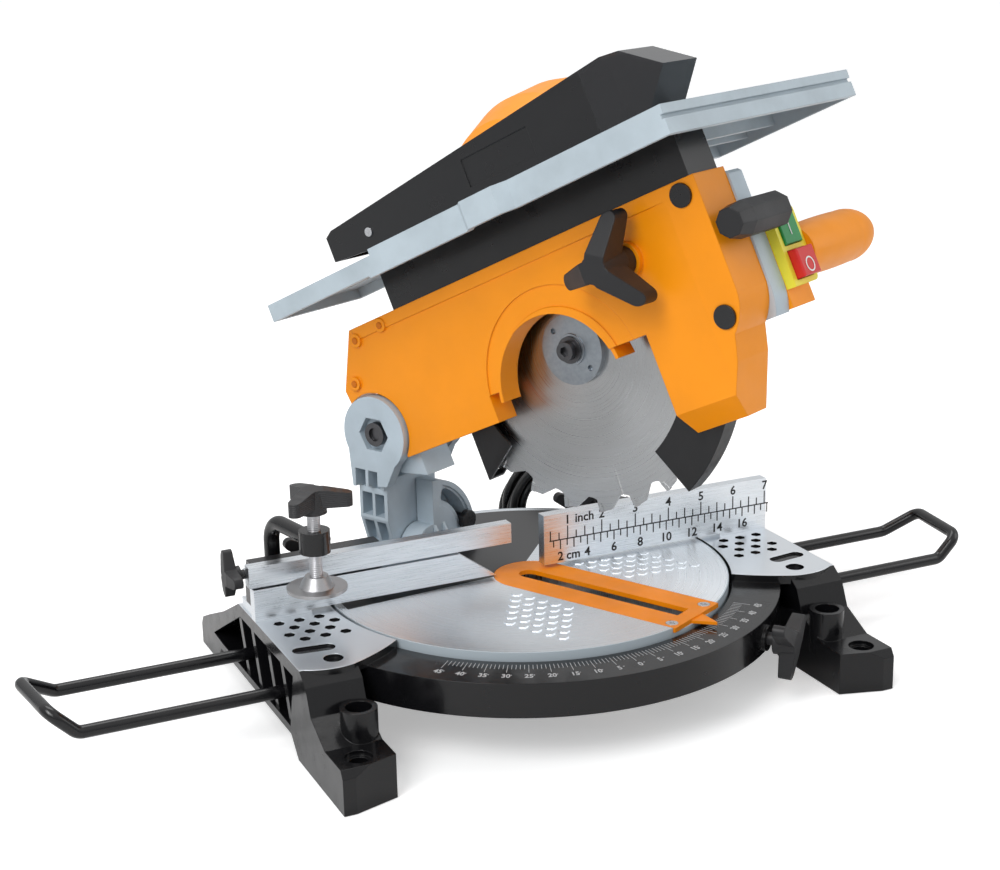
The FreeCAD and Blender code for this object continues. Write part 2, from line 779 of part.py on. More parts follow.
def sliding_fence():
    """Upper strip of the left fence, with the rib that runs in the rail."""
    strip = block((STRIP_LEFT, STRIP_RIGHT), (0, FENCE_THICK), (STRIP_BOTTOM, STRIP_TOP))
    rib = block((STRIP_LEFT, STRIP_RIB_RIGHT), (FENCE_THICK - 1, FENCE_THICK + STRIP_RIB_DEPTH),
                (STRIP_BOTTOM + STRIP_RIB, STRIP_TOP - STRIP_RIB))
    return fuse([strip, rib])


def fence_screws():
    """Socket screws that hold the fences down."""
    screws = []
    spots = [(x, FENCE_THICK + 8) for x in (FENCE_STEP_X + 5, BASE_HALF_WIDTH - 6)]
    for x, y in spots:
        seat = SHOULDER_TOP + FENCE_FOOT_THICK
        head = rod("z", (x, y), (seat, seat + FENCE_HEAD_HEIGHT), FENCE_HEAD_RADIUS)
        head = head.cut(slab("z", hexagon((x, y), 2.6), (seat + 2, seat + FENCE_HEAD_HEIGHT)))
        shank = rod("z", (x, y), (SHOULDER_TOP, seat), FENCE_SCREW_RADIUS)
        screws.append(fuse([head, shank]))
    return Part.makeCompound(screws)


def knob_with_stud(hub, reach, height, stud, stud_radius):
    """Three-arm knob with its threaded stud running back along -Z."""
    knob = three_arm_knob(hub, reach, height)
    return fuse([knob, rod("z", (0, 0), (-stud, 1), stud_radius)])


def fence_end_knob():
    """Knob on the left end of the sliding strip; turning it locks the strip."""
    knob = knob_with_stud(6.0, 17.0, 10.0, 3.0, 3.0)
    return aim(knob, V(STRIP_LEFT - 3, FENCE_THICK + 1.5, (STRIP_BOTTOM + STRIP_TOP) / 2), V(-1, 0, 0), 30)


def rear_knob(x, z, stud):
    """Knob behind a fence, on a stud square to the fence."""
    knob = knob_with_stud(6.0, 17.0, 10.0, stud, 3.0)
    return aim(knob, V(x, FENCE_THICK + RAIL_DEPTH + 3, z), Y_AXIS, 90)


def mitre_lock_knob():
    """Knob and screw that press on the turntable's rim through the ring wall."""
    way = V(math.sin(math.radians(MITRE_KNOB_ANGLE)), -math.cos(math.radians(MITRE_KNOB_ANGLE)), 0)
    length = MITRE_KNOB_REACH - TABLE_RADIUS - BODY_GAP
    knob = fuse([three_arm_knob(9.0, 24.0, 14.0), rod("z", (0, 0), (-length, 1), 4.0)])
    return aim(knob, V(0, 0, MITRE_KNOB_Z) + way * MITRE_KNOB_REACH, way, 60)


# Hold-down clamp
def clamp_post():
    """Bent post in the shoulder's socket, ending in the eye that the spindle turns in."""
    foot = V(CLAMP_POST_X, CLAMP_POST_Y, SHOULDER_TOP - CLAMP_GRIP)
    top = V(CLAMP_POST_X, CLAMP_POST_Y, CLAMP_EYE_Z)
    eye = V(CLAMP_X, CLAMP_Y, CLAMP_EYE_Z)
    near_eye = eye + (top - eye).normalize() * 8
    bar = sweep(round_bend([foot, top, near_eye], 14.0), CLAMP_POST_RADIUS)
    ring = rod("z", (CLAMP_X, CLAMP_Y), (CLAMP_EYE_Z - 7, CLAMP_EYE_Z + 7), 9.5)
    hole = rod("z", (CLAMP_X, CLAMP_Y), (CLAMP_EYE_Z - 8, CLAMP_EYE_Z + 8), CLAMP_SPINDLE + RUN_GAP)
    return fuse([bar, ring]).cut(hole)


def clamp_spindle():
    """Threaded spindle with its three-arm knob and the ball that carries the pressure foot."""
    knob = three_arm_knob(8.5, 24.0, 15.0, 11.0)
    shank = rod("z", (0, 0), (CLAMP_PLATE_Z + 5 - CLAMP_KNOB_Z, 1), CLAMP_SPINDLE)
    return aim(fuse([knob, shank]), V(CLAMP_X, CLAMP_Y, CLAMP_KNOB_Z), Z_AXIS, 100)


def clamp_foot():
    """Pressure plate with its socket cone."""
    low = CLAMP_PLATE_Z
    plate = rod("z", (CLAMP_X, CLAMP_Y), (low, low + 2.0), CLAMP_PLATE_RADIUS)
    socket = cone("z", (CLAMP_X, CLAMP_Y), (low + 1.5, low + 9.0), 11.0, 7.0)
    bore = rod("z", (CLAMP_X, CLAMP_Y), (low + 5 - BODY_GAP, low + 10), CLAMP_SPINDLE + RUN_GAP)
    return fuse([plate, socket]).cut(bore)


def support_wire():
    """Right support wire: a round bar bent to a long loop whose end rises."""
    rise = V(WIRE_RISE, 0, WIRE_RISE)
    points = [
        V(WIRE_INNER, WIRE_FRONT_Y, WIRE_Z),
        V(WIRE_REACH - 5, WIRE_FRONT_Y, WIRE_Z),
        V(WIRE_REACH - 5, WIRE_FRONT_Y, WIRE_Z) + rise,
        V(WIRE_REACH + 2, WIRE_REAR_Y - 12, WIRE_Z) + rise,
        V(WIRE_REACH - 5, WIRE_REAR_Y, WIRE_Z),
        V(WIRE_INNER, WIRE_REAR_Y, WIRE_Z),
    ]
    return sweep(round_bend(points, WIRE_RADIUS * 2), WIRE_RADIUS)


# Turntable
def kerf_outline(grow):
    """Outline of the kerf plate: a rounded rear end and sides along the kerf."""
    half = KERF_HALF + grow
    centre = (0, KERF_REAR - KERF_HALF)
    return [
        (-half, KERF_FRONT),
        (half, KERF_FRONT),
        (half, centre[1]),
        arc_to(centre, half, 0, 180),
    ]


def turntable():
    """Turntable casting: plate, skirt, hub and ribs, with the blade channel and the arm's notch."""
    middle = (0, 0)
    skirt_low = FLOOR_TOP + BODY_GAP
    plate = rod("z", middle, (TABLE_TOP - TABLE_THICK, TABLE_TOP), TABLE_RADIUS)
    skirt = tube("z", middle, (skirt_low, TABLE_TOP - TABLE_THICK), TABLE_RADIUS, TABLE_RADIUS - TABLE_SKIRT)
    hub = rod("z", middle, (skirt_low, CHANNEL_BOTTOM), HUB_RADIUS)
    ribs = [
        block((HUB_RADIUS - 2, TABLE_RADIUS - 2), (-2, 2), (42, TABLE_TOP - 1)).rotate(V(0, 0, 0), Z_AXIS, turn)
        for turn in (0, 35, 145, 180, 215, 325)
    ]
    walls = [
        block((side * (CHANNEL_HALF + 1.5) - 1.5, side * (CHANNEL_HALF + 1.5) + 1.5),
              (KERF_FRONT + 5, KERF_REAR + 6), (42, TABLE_TOP - 1))
        for side in (-1, 1)
    ]
    floor_web = block((-CHANNEL_HALF - 3, CHANNEL_HALF + 3), (-HUB_RADIUS, HUB_RADIUS), (42, CHANNEL_BOTTOM))
    body = fuse([plate, skirt, hub, floor_web] + ribs + walls)
    half = NOTCH_HALF
    far = math.sqrt((TABLE_RADIUS - RIM_THICK) ** 2 - half ** 2)
    notch = [
        (-half, NOTCH_FRONT),
        (half, NOTCH_FRONT),
        (half, far),
        (0, TABLE_RADIUS - RIM_THICK, -half, far),
    ]
    front_wall = block((-NOTCH_HALF, NOTCH_HALF), (NOTCH_FRONT - 5, NOTCH_FRONT), (42, TABLE_TOP - 1))
    body = fuse([body, front_wall])
    cutters = [
        slab("z", kerf_outline(BODY_GAP), (TABLE_TOP - KERF_THICK, TABLE_TOP + 1)),
        block((-KERF_HALF - BODY_GAP, KERF_HALF + BODY_GAP), (KERF_FRONT - 3, KERF_FRONT + 3),
              (TABLE_TOP - KERF_THICK, TABLE_TOP + 1)),
        block((-CHANNEL_HALF, CHANNEL_HALF), (KERF_FRONT + 7, KERF_SLOT_REAR + 4), (CHANNEL_BOTTOM, TABLE_TOP)),
        slab("z", notch, (skirt_low - 1, TABLE_TOP + 1)),
        rod("z", middle, (0, TABLE_TOP), PIVOT_RADIUS + RUN_GAP),
        rod("z", middle, (CHANNEL_BOTTOM - 4, TABLE_TOP), 11.0),
        rod("y", (0, BEVEL_Z), (BRACKET_FRONT - 3, BRACKET_FRONT + BEVEL_HEAD_DEPTH + BODY_GAP),
            BEVEL_HEAD + BODY_GAP),
        rod("y", (0, BEVEL_Z), (BRACKET_FRONT, NOTCH_FRONT + 1), BEVEL_BOLT_RADIUS + RUN_GAP),
    ]
    for side in (-1, 1):
        screw = (side * KERF_SCREW_X, KERF_SCREW_Y)
        cutters.append(rod("z", screw, (TABLE_TOP - 14, TABLE_TOP), 2.0))
    body = cut(body, cutters)
    pads = []
    for side, start in ((-1, -34), (1, 34)):
        for row in range(5):
            for column in range(6):
                x = start + side * (column * HEX_PITCH * 0.62)
                y = -18 - row * HEX_ROW - column * HEX_ROW * 0.5
                pads.append(slab("z", hexagon((x, y), HEX_SIZE), (TABLE_TOP - 0.5, TABLE_TOP + PAD_HEIGHT)))
    return fuse([body] + pads)


def kerf_plate():
    """Kerf plate with the blade slot; its pointer reaches over the mitre scale."""
    low = TABLE_TOP - KERF_THICK
    plate = slab("z", kerf_outline(0), (low, TABLE_TOP))
    slot = slab("z", [
        (-KERF_SLOT_HALF, KERF_SLOT_FRONT),
        (KERF_SLOT_HALF, KERF_SLOT_FRONT),
        (KERF_SLOT_HALF, KERF_SLOT_REAR - KERF_SLOT_HALF),
        arc_to((0, KERF_SLOT_REAR - KERF_SLOT_HALF), KERF_SLOT_HALF, 0, 180),
    ], (low - 1, TABLE_TOP + 1))
    pointer = slab("z", [(-7, KERF_FRONT + 1), (0, POINTER_TIP), (7, KERF_FRONT + 1)],
                   (low, TABLE_TOP - 1))
    cutters = [slot]
    for side in (-1, 1):
        screw = (side * KERF_SCREW_X, KERF_SCREW_Y)
        cutters.append(rod("z", screw, (low - 1, TABLE_TOP + 1), 2.0 + RUN_GAP))
        cutters.append(cone("z", screw, (TABLE_TOP - 2, TABLE_TOP + 0.01), 2.1, 4.2))
    return cut(fuse([plate, pointer]), cutters)


def kerf_screws():
    """Two countersunk screws of the kerf plate."""
    screws = []
    for side in (-1, 1):
        spot = (side * KERF_SCREW_X, KERF_SCREW_Y)
        head = cone("z", spot, (TABLE_TOP - 1.9, TABLE_TOP - 0.1), 2.0, 3.9)
        shank = rod("z", spot, (TABLE_TOP - 12, TABLE_TOP - 1.9), 1.9)
        slots = [
            block((spot[0] - 2.4, spot[0] + 2.4), (spot[1] - 0.4, spot[1] + 0.4), (TABLE_TOP - 0.8, TABLE_TOP)),
            block((spot[0] - 0.4, spot[0] + 0.4), (spot[1] - 2.4, spot[1] + 2.4), (TABLE_TOP - 0.8, TABLE_TOP)),
        ]
        screws.append(cut(fuse([head, shank]), slots))
    return Part.makeCompound(screws)


def pivot_bolt():
    """Bolt on which the turntable turns, with its nut under the base."""
    top = CHANNEL_BOTTOM - 4 + BODY_GAP
    head = slab("z", hexagon((0, 0), 9.0), (top, top + 4.5))
    shank = rod("z", (0, 0), (RING_BOTTOM - 8, top), PIVOT_RADIUS)
    nut = slab("z", hexagon((0, 0), 10.0), (RING_BOTTOM - 7, RING_BOTTOM))
    return fuse([head, shank, nut])


def bevel_bracket():
    """Half-round bracket on the turntable, with the curved slot of the bevel clamp bolt."""
    centre = (0, BEVEL_Z)
    span = (BRACKET_FRONT, BRACKET_FRONT + BRACKET_THICK)
    start = math.degrees(math.asin(0.3 / BRACKET_RADIUS))
    stop = math.degrees(math.acos(BRACKET_LEFT / BRACKET_RADIUS))
    plate = slab("y", [
        (BRACKET_LEFT, BEVEL_Z + 0.3),
        polar(centre, BRACKET_RADIUS, start),
        arc_to(centre, BRACKET_RADIUS, start, stop),
    ], span)
    seat = block((-24, BRACKET_RADIUS), (BRACKET_FRONT - 10, span[1]), (BEVEL_Z, BEVEL_Z + 4))
    hub = rod("y", centre, span, 17.0).common(block((-24, 24), span, (BEVEL_Z, BEVEL_Z + 20)))
    fins = [
        slab("x", [(BRACKET_FRONT, BEVEL_Z + 3), (BRACKET_FRONT, BEVEL_Z + 16), (BRACKET_FRONT - 8, BEVEL_Z + 3)],
             (x, x + 2.5))
        for x in (BRACKET_LEFT, BRACKET_LEFT + 9)
    ]
    low = CLAMP_ANGLE - 2
    high = CLAMP_ANGLE + BEVEL_TRAVEL + 2
    slot = sector("y", centre, (SLOT_RADIUS - SLOT_HALF, SLOT_RADIUS + SLOT_HALF), (low, high),
                  (span[0] - 1, span[1] + 1))
    ends = [rod("y", polar(centre, SLOT_RADIUS, angle), (span[0] - 1, span[1] + 1), SLOT_HALF)
            for angle in (low, high)]
    recess = sector("y", centre, (SLOT_RADIUS - 8, SLOT_RADIUS + 6), (low - 2, high + 8),
                    (span[0] - 1, span[0] + 1.5))
    bore = rod("y", centre, (0, ARM_REAR), BEVEL_BOLT_RADIUS + RUN_GAP)
    head = rod("y", centre, (0, BRACKET_FRONT + BEVEL_HEAD_DEPTH + BODY_GAP), BEVEL_HEAD + BODY_GAP)
    return cut(fuse([plate, seat, hub] + fins), [slot, recess, bore, head] + ends)


def bevel_pivot_bolt():
    """Stout bolt through the turntable's wall and the arm's boss: the bevel axis."""
    centre = (0, BEVEL_Z)
    head = rod("y", centre, (BRACKET_FRONT - 1, BRACKET_FRONT + BEVEL_HEAD_DEPTH), BEVEL_HEAD)
    head = head.cut(slab("y", hexagon(centre, 5.0), (BRACKET_FRONT - 2, BRACKET_FRONT + 1.5)))
    shank = rod("y", centre, (BRACKET_FRONT + BEVEL_HEAD_DEPTH, ARM_REAR + 2), BEVEL_BOLT_RADIUS)
    nut = slab("y", hexagon(centre, 11.0), (ARM_REAR + BODY_GAP, ARM_REAR + 5.5))
    return fuse([head, shank, nut])


# Bevel arm
def hinge_block_room():
    """Room in the arm for the head's hinge block when the head is right down."""
    lowered = [(HINGE_Y + y, HINGE_Z + z) for y, z in HINGE_BLOCK]
    left = HINGE_BLOCK_SPAN[0] - HINGE_BLOCK_GAP
    width = HINGE_BLOCK_SPAN[1] - HINGE_BLOCK_SPAN[0] + 2 * HINGE_BLOCK_GAP
    face = Part.Face(outline("x", lowered, left)).makeOffset2D(HINGE_BLOCK_GAP)
    return face.extrude(X_AXIS * width)


def bevel_arm():
    """Arm: flange and boss on the bevel axis, ribbed column and the fork of the head hinge."""
    centre = (0, BEVEL_Z)
    flange = sector("y", centre, (10, BRACKET_RADIUS - 1), (-14, 96), (ARM_FRONT, ARM_FRONT + FLANGE_THICK))
    boss = rod("y", centre, (ARM_FRONT, ARM_REAR), BOSS_RADIUS)
    column = slab("y", [
        (ARM_LEFT, ARM_SHELF),
        (-14, 48),
        (14, 48),
        (ARM_RIGHT, ARM_SHELF - 12),
        (ARM_RIGHT, 126),
        (ARM_LEFT, 126),
    ], (ARM_FRONT, ARM_REAR))
    shelf = slab("x", [
        (ARM_FRONT, 108), (ARM_REAR, 108), (ARM_REAR, 123), (HINGE_Y - 12, 123), (HINGE_Y - 4, 112),
    ], (-EAR_OUTER + 3, EAR_OUTER - 3))
    ears = []
    for side in (-1, 1):
        span = sorted((side * EAR_OUTER, side * (EAR_OUTER - EAR_THICK)))
        ears.append(rod("x", (HINGE_Y, HINGE_Z), span, EAR_RADIUS))
        neck = slab("x", [
            (HINGE_Y - 10, 112), (ARM_REAR, 108), (ARM_REAR + 4, HINGE_Z), (HINGE_Y - 20, HINGE_Z - 14),
        ], span)
        ears.append(neck)
    body = fuse([flange, boss, column, shelf] + ears)
    pockets = []
    for low, high in ((66, 83), (87, 103), (107, 121)):
        for front, rear in ((ARM_FRONT + 3, ARM_FRONT + 11), (ARM_FRONT + 13.5, ARM_REAR - 2.5)):
            pockets.append(block((ARM_LEFT - 12, ARM_LEFT + 12), (front, rear), (low, high)))
    knuckle_room = rod("x", (HINGE_Y, HINGE_Z), (-EAR_OUTER + EAR_THICK, EAR_OUTER - EAR_THICK),
                       KNUCKLE_RADIUS + 1.5)
    head_room = block((-EAR_OUTER + EAR_THICK, EAR_OUTER - EAR_THICK), (HINGE_Y - 50, HINGE_Y),
                      (HINGE_Z - KNUCKLE_RADIUS - 1.5, HINGE_Z + 40))
    clamp = polar(centre, SLOT_RADIUS, CLAMP_ANGLE)
    cutters = pockets + [
        knuckle_room,
        head_room,
        hinge_block_room(),
        rod("x", (HINGE_Y, HINGE_Z), (-EAR_OUTER - 1, EAR_OUTER + 1), HINGE_BOLT_RADIUS + RUN_GAP),
        slab("x", hexagon((HINGE_Y, HINGE_Z), CAP_HEX), (-EAR_OUTER - 1, -EAR_OUTER + CAP_HEX_DEPTH)),
        rod("y", centre, (ARM_FRONT - 1, ARM_REAR + 1), BEVEL_BOLT_RADIUS + RUN_GAP),
        rod("y", clamp, (ARM_FRONT - 1, ARM_REAR + 1), CLAMP_BOLT_RADIUS + RUN_GAP),
        rod("y", clamp, (ARM_FRONT + FLANGE_THICK, ARM_REAR + 1), 9.0),
    ]
    return cut(body, cutters)


def bevel_clamp_bolt():
    """Domed bolt that rides in the bracket's slot; its thread takes the lock knob behind the arm."""
    at = polar((0, BEVEL_Z), SLOT_RADIUS, CLAMP_ANGLE)
    dome = rod("y", at, (BRACKET_FRONT - 4.5, BRACKET_FRONT - BODY_GAP), DOME_RADIUS)
    cap = Part.makeSphere(DOME_RADIUS * 1.3, point("y", at, BRACKET_FRONT + 1.5))
    dome = dome.common(cap)
    shank = rod("y", at, (BRACKET_FRONT - 2, ARM_KNOB_Y + 2), CLAMP_BOLT_RADIUS)
    return fuse([dome, shank])


def bevel_lock_knob():
    """Lock knob on the clamp bolt, behind the arm, with its long nut."""
    at = polar((0, BEVEL_Z), SLOT_RADIUS, CLAMP_ANGLE)
    bore = rod("z", (0, 0), (-30, 3), CLAMP_BOLT_RADIUS + RUN_GAP)
    nut_length = ARM_KNOB_Y - ARM_FRONT - FLANGE_THICK - BODY_GAP
    knob = fuse([three_arm_knob(8.0, 19.0, 13.0), rod("z", (0, 0), (-nut_length, 1), 6.5)]).cut(bore)
    return aim(knob, point("y", at, ARM_KNOB_Y), Y_AXIS, 90)


def hinge_bolt():
    """Bolt of the head hinge: round head in the cap's hexagon recess, nut on the right."""
    head = rod("x", (HINGE_Y, HINGE_Z), (-EAR_OUTER + 0.5, -EAR_OUTER + CAP_HEX_DEPTH), 8.0)
    head = head.cut(rod("x", (HINGE_Y, HINGE_Z), (-EAR_OUTER, -EAR_OUTER + 2.5), 4.5))
    shank = rod("x", (HINGE_Y, HINGE_Z), (-EAR_OUTER + CAP_HEX_DEPTH - 1, EAR_OUTER + 8), HINGE_BOLT_RADIUS)
    nut = slab("x", hexagon((HINGE_Y, HINGE_Z), 10.5), (EAR_OUTER, EAR_OUTER + 7))
    return fuse([head, shank, nut])


def hinge_spring():
    """Torsion spring of the head, round the hinge bolt beside the knuckle."""
    span = (KNUCKLE_RIGHT + 1, EAR_OUTER - EAR_THICK - 0.5)
    return tube("x", (HINGE_Y, HINGE_Z), span, 15.0, 11.0)


# Head
def head_casting():
    """Casting that carries blade, motor and table: web, hinge knuckle, hinge block and belt case."""
    web_right = WEB_RIGHT
    web = slab("x", [
        (WEB_FRONT, 0),
        (WEB_FRONT + 0.8, -12, WEB_FRONT + 3.6, WEB_BOTTOM),
        (-8, WEB_BOTTOM),
        (-8, WEB_TOP - 20),
        (-24, WEB_TOP),
        (WEB_FRONT + 2, WEB_TOP),
        (WEB_FRONT, WEB_TOP - 2),
    ], (WEB_LEFT, web_right))
    cell = [
        block((WEB_LEFT + 4, web_right + 1), (front, front + 16), (WEB_BOTTOM + 5, WEB_TOP - 5))
        for front in (POST_FRONT - POST_BOSS - 18, POST_FRONT + POST_BOSS + 2)
    ]
    knuckle = rod("x", HINGE, (-EAR_OUTER + EAR_THICK + 0.5, KNUCKLE_RIGHT), KNUCKLE_RADIUS)
    neck = block((-22, web_right), (-34, 0), (WEB_BOTTOM - 1, KNUCKLE_RADIUS - 2))
    hinge_block = slab("x", HINGE_BLOCK, HINGE_BLOCK_SPAN)
    case = strap("x", ARBOR, ARBOR_CASE, MOTOR, MOTOR_CASE, (WEB_LEFT + 3, CASE_RIGHT))
    room = strap("x", ARBOR, ARBOR_CASE - CASE_WALL, MOTOR, MOTOR_CASE - CASE_WALL,
                 (web_right + 3, CASE_RIGHT + 1))
    above = block((0, web_right), (-200, -40), (WEB_TOP, 200))
    bearing_boss = rod("x", ARBOR, (3.4, web_right), GUARD_HUB - 1.5)
    posts = [
        block((web_right - 1, web_right + POST_OUT + POST_BOSS - 1), (y - POST_BOSS, y + POST_BOSS),
              (WEB_BOTTOM + 30, WEB_TOP))
        for y in (POST_FRONT, POST_REAR)
    ]
    body = fuse([web, knuckle, neck, hinge_block, case.cut(above), bearing_boss] + posts)
    ear_room = block((-EAR_OUTER, -EAR_OUTER + EAR_THICK + 0.5), (-60, 60), (-60, 60))
    cutters = cell + [
        room,
        ear_room,
        block((EAR_OUTER - EAR_THICK - 0.5, EAR_OUTER + 8), (-EAR_RADIUS - 4, 40), (-50, EAR_RADIUS + 4)),
        block((KNUCKLE_RIGHT, EAR_OUTER), (-18, 30), (-50, 18)),
        rod("x", HINGE, (-60, 60), HINGE_BOLT_RADIUS + RUN_GAP),
        rod("x", ARBOR, (0, web_right + 4), ARBOR_RADIUS + 1.0),
        rod("x", ARBOR, (8, 8 + BEARING_WIDTH), BEARING_OUTER),
        rod("x", ARBOR, (web_right + 3 - BEARING_WIDTH, web_right + 3), BEARING_OUTER),
        rod("y", (WEB_RIGHT / 2, LOCK_Z), (WEB_FRONT - 10, WEB_FRONT + 25), LOCK_STEM + RUN_GAP),
    ]
    for y in (POST_FRONT, POST_REAR):
        cutters.append(rod("z", (web_right + POST_OUT, y), (0, WEB_TOP + 1), POST_RADIUS + RUN_GAP))
    return cut(body, cutters)


def cover_outline():
    """Side outline of the blade cover; corners turned into arcs where the moulding is round."""
    radius = EAR_RADIUS + 1.5
    return [
        (-9, COVER_TOP),
        (COVER_FRONT, COVER_TOP),
        (COVER_FRONT, 0),
        (COVER_FRONT + 3.2, -12, COVER_FRONT + 10.6, -22),
        (COVER_FRONT + 15.1, -37),
        (COVER_FRONT + 30.3, COVER_FOOT),
        (COVER_NOTCH_Y, COVER_FOOT),
        (COVER_NOTCH_Y, -4),
        (-103, -4),
        (-103, -21.7),
        (-18.5, -22),
        polar(HINGE, radius, -131.5),
        arc_to(HINGE, radius, -131.5, -297.3),
        (13.8, 34),
    ]


def foot_chamfer(size):
    """Wedge that takes the lower left edge off the cover's foot at 45 degrees."""
    spare = 5.0
    return slab("y", [
        (COVER_LEFT - spare, COVER_FOOT - spare),
        (COVER_LEFT + size + spare, COVER_FOOT - spare),
        (COVER_LEFT - spare, COVER_FOOT + size + spare),
    ], (COVER_FRONT - spare, COVER_NOTCH_Y + spare))


def cover_shell():
    """Walls of the cover, open towards the blade."""
    outer = slab("x", cover_outline(), (COVER_LEFT, WEB_LEFT)).cut(foot_chamfer(COVER_CHAMFER))
    inner_face = Part.Face(outline("x", cover_outline(), COVER_LEFT + COVER_WALL)).makeOffset2D(-COVER_WALL)
    inner = inner_face.extrude(X_AXIS * (WEB_LEFT - COVER_LEFT))
    return outer.cut(inner.cut(foot_chamfer(COVER_CHAMFER + COVER_WALL * math.sqrt(2))))


def blade_cover():
    """Moulded cover on the left of the blade: one shell with the arch, relief ring, lip and plugs."""
    outside = (COVER_LEFT - 2, WEB_LEFT + 1)
    right = WEB_LEFT + 1
    arch = (ARCH_Y, ARCH_Z)
    additions = [
        slab("x", [(-12, LIP_Z), (COVER_FRONT, LIP_Z), (COVER_FRONT, COVER_TOP), (-12, COVER_TOP)],
             (COVER_LEFT - LIP_PROUD, COVER_LEFT + 1)),
        sector("x", arch, (ARCH_RADIUS - 0.5, ARCH_RADIUS + COVER_WALL), (6, 174),
               (COVER_LEFT + 1, ARCH_SETBACK)),
        rod("x", (TABLE_KNOB_Y, TABLE_KNOB_Z), (COVER_LEFT - 4, COVER_LEFT + 1), 11.0),
    ]
    shell = fuse([cover_shell()] + additions)
    bosses = [rod("x", spot, (COVER_LEFT - LIP_PROUD - 1, COVER_LEFT + 3), 4.6) for spot in COVER_SCREW_SPOTS]
    cutters = [
        block((COVER_LEFT + COVER_WALL, right), (SKIRT_FRONT - 1, SKIRT_REAR + 1), (LIP_Z - 2, COVER_TOP + 1)),
        block((BLADE_LEFT - 1.5, right), (-60, -24), (LIP_Z - 2, COVER_TOP + 1)),
        sector("x", arch, (0.5, ARCH_RADIUS), (0, 180), outside),
        block(outside, (ARCH_Y - ARCH_RADIUS, ARCH_Y + ARCH_RADIUS), (-30, ARCH_Z + 0.5)),
        sector("x", (ARCH_Y - 5, ARCH_Z + 3), (ARCH_RADIUS, RELIEF_RADIUS), (8, 172),
               (COVER_LEFT - 1, COVER_LEFT + RELIEF_DEPTH)),
        rod("x", ARBOR, (ARCH_SETBACK, right), GUARD_OUTER + 2),
        slab("z", [(COVER_LEFT - 3, -264), (COVER_LEFT - LIP_PROUD, -264), (COVER_LEFT + 2, -300),
                   (COVER_LEFT - 3, -300)], (-80, COVER_TOP + 1)),
        rod("x", (TABLE_KNOB_Y, TABLE_KNOB_Z), (COVER_LEFT - 5, COVER_LEFT + 5), TABLE_SCREW_RADIUS + RUN_GAP),
        block((-22.5, right), (-62, 20), (-40, KNUCKLE_RADIUS + 4)),
    ]
    seat = COVER_LEFT + PLUG_DEPTH + 0.4
    cutters += [rod("x", spot, (COVER_LEFT - 2, seat), PLUG_RADIUS) for spot in PLUG_SPOTS]
    cutters += [rod("x", spot, (COVER_LEFT - 3, COVER_LEFT + 4), 2.2) for spot in COVER_SCREW_SPOTS]
    return cut(fuse([shell] + bosses), cutters)


def cover_plugs():
    """Black plugs over the front screws of the cover."""
    plugs = [
        rod("x", spot, (COVER_LEFT - 0.2, COVER_LEFT + PLUG_DEPTH + 0.4), PLUG_RADIUS)
        for spot in PLUG_SPOTS
    ]
    return Part.makeCompound(plugs)


def cover_screws():
    """Screws in the cover's rear bosses."""
    screws = []
    for spot in COVER_SCREW_SPOTS:
        head = rod("x", spot, (COVER_LEFT - 2.5, COVER_LEFT + 3.5), 2.2)
        screws.append(head)
    return Part.makeCompound(screws)


def motor_profile(grow):
    """Radii of the motor cover along its axis, less a wall."""
    return [
        (MOTOR_LEFT - 4, MOTOR_CASE + grow),
        (MOTOR_LEFT + 24, 52 + grow),
        (MOTOR_LEFT + 55, 66 + grow),
        (MOTOR_LEFT + 90, 72 + grow),
        (MOTOR_RIGHT - 14, 72 + grow),
        (MOTOR_RIGHT + grow, 58 + grow),
    ]


def revolve_profile(stations, axis_point):
    """Solid of revolution about a line along x, from stations of level and radius."""
    centre_y, centre_z = axis_point
    corners = [V(stations[0][0], centre_y, centre_z)]
    corners += [V(level, centre_y, centre_z + radius) for level, radius in stations]
    corners.append(V(stations[-1][0], centre_y, centre_z))
    edges = [
        Part.LineSegment(corners[index], corners[(index + 1) % len(corners)]).toShape()
        for index in range(len(corners))
    ]
    face = Part.Face(Part.Wire(edges))
    return face.revolve(V(0, centre_y, centre_z), X_AXIS, 360)


def motor_cover():
    """Domed motor cover with cooling slots in its end."""
    shell = revolve_profile(motor_profile(0), MOTOR).cut(revolve_profile(motor_profile(-3), MOTOR))
    slots = [
        sector("x", MOTOR, (24, 50), (turn, turn + 6), (MOTOR_RIGHT - 8, MOTOR_RIGHT + 2))
        for turn in range(0, 360, 20)
    ]
    opening = rod("x", MOTOR, (MOTOR_LEFT - 6, MOTOR_LEFT + 1), MOTOR_CASE - 3)
    return cut(shell, slots + [opening])


def motor_stator():
    """Stator of the motor, held in the cover."""
    return tube("x", MOTOR, (MOTOR_LEFT + 26, MOTOR_LEFT + 84), 49.0, 25.0)


def motor_rotor():
    """Rotor with its shaft and cooling fan."""
    shaft = rod("x", MOTOR, (WEB_RIGHT + 4, MOTOR_RIGHT - 12), MOTOR_SHAFT)
    core = rod("x", MOTOR, (MOTOR_LEFT + 28, MOTOR_LEFT + 82), 24.0)
    disc = rod("x", MOTOR, (MOTOR_LEFT + 92, MOTOR_LEFT + 94), 44.0)
    vanes = [
        sector("x", MOTOR, (20, 43), (turn, turn + 6), (MOTOR_LEFT + 93, MOTOR_LEFT + 106))
        for turn in range(0, 360, 30)
    ]
    return fuse([shaft, core, disc] + vanes)


def pulley(centre, radius, bore):
    """Flat pulley with two rims."""
    left = WEB_RIGHT + 4
    right = left + PULLEY_WIDTH
    body = rod("x", centre, (left, right), radius)
    rims = [rod("x", centre, span, radius + 2.5) for span in ((left - 1, left), (right, right + 1))]
    return fuse([body] + rims).cut(rod("x", centre, (left - 2, right + 2), bore))


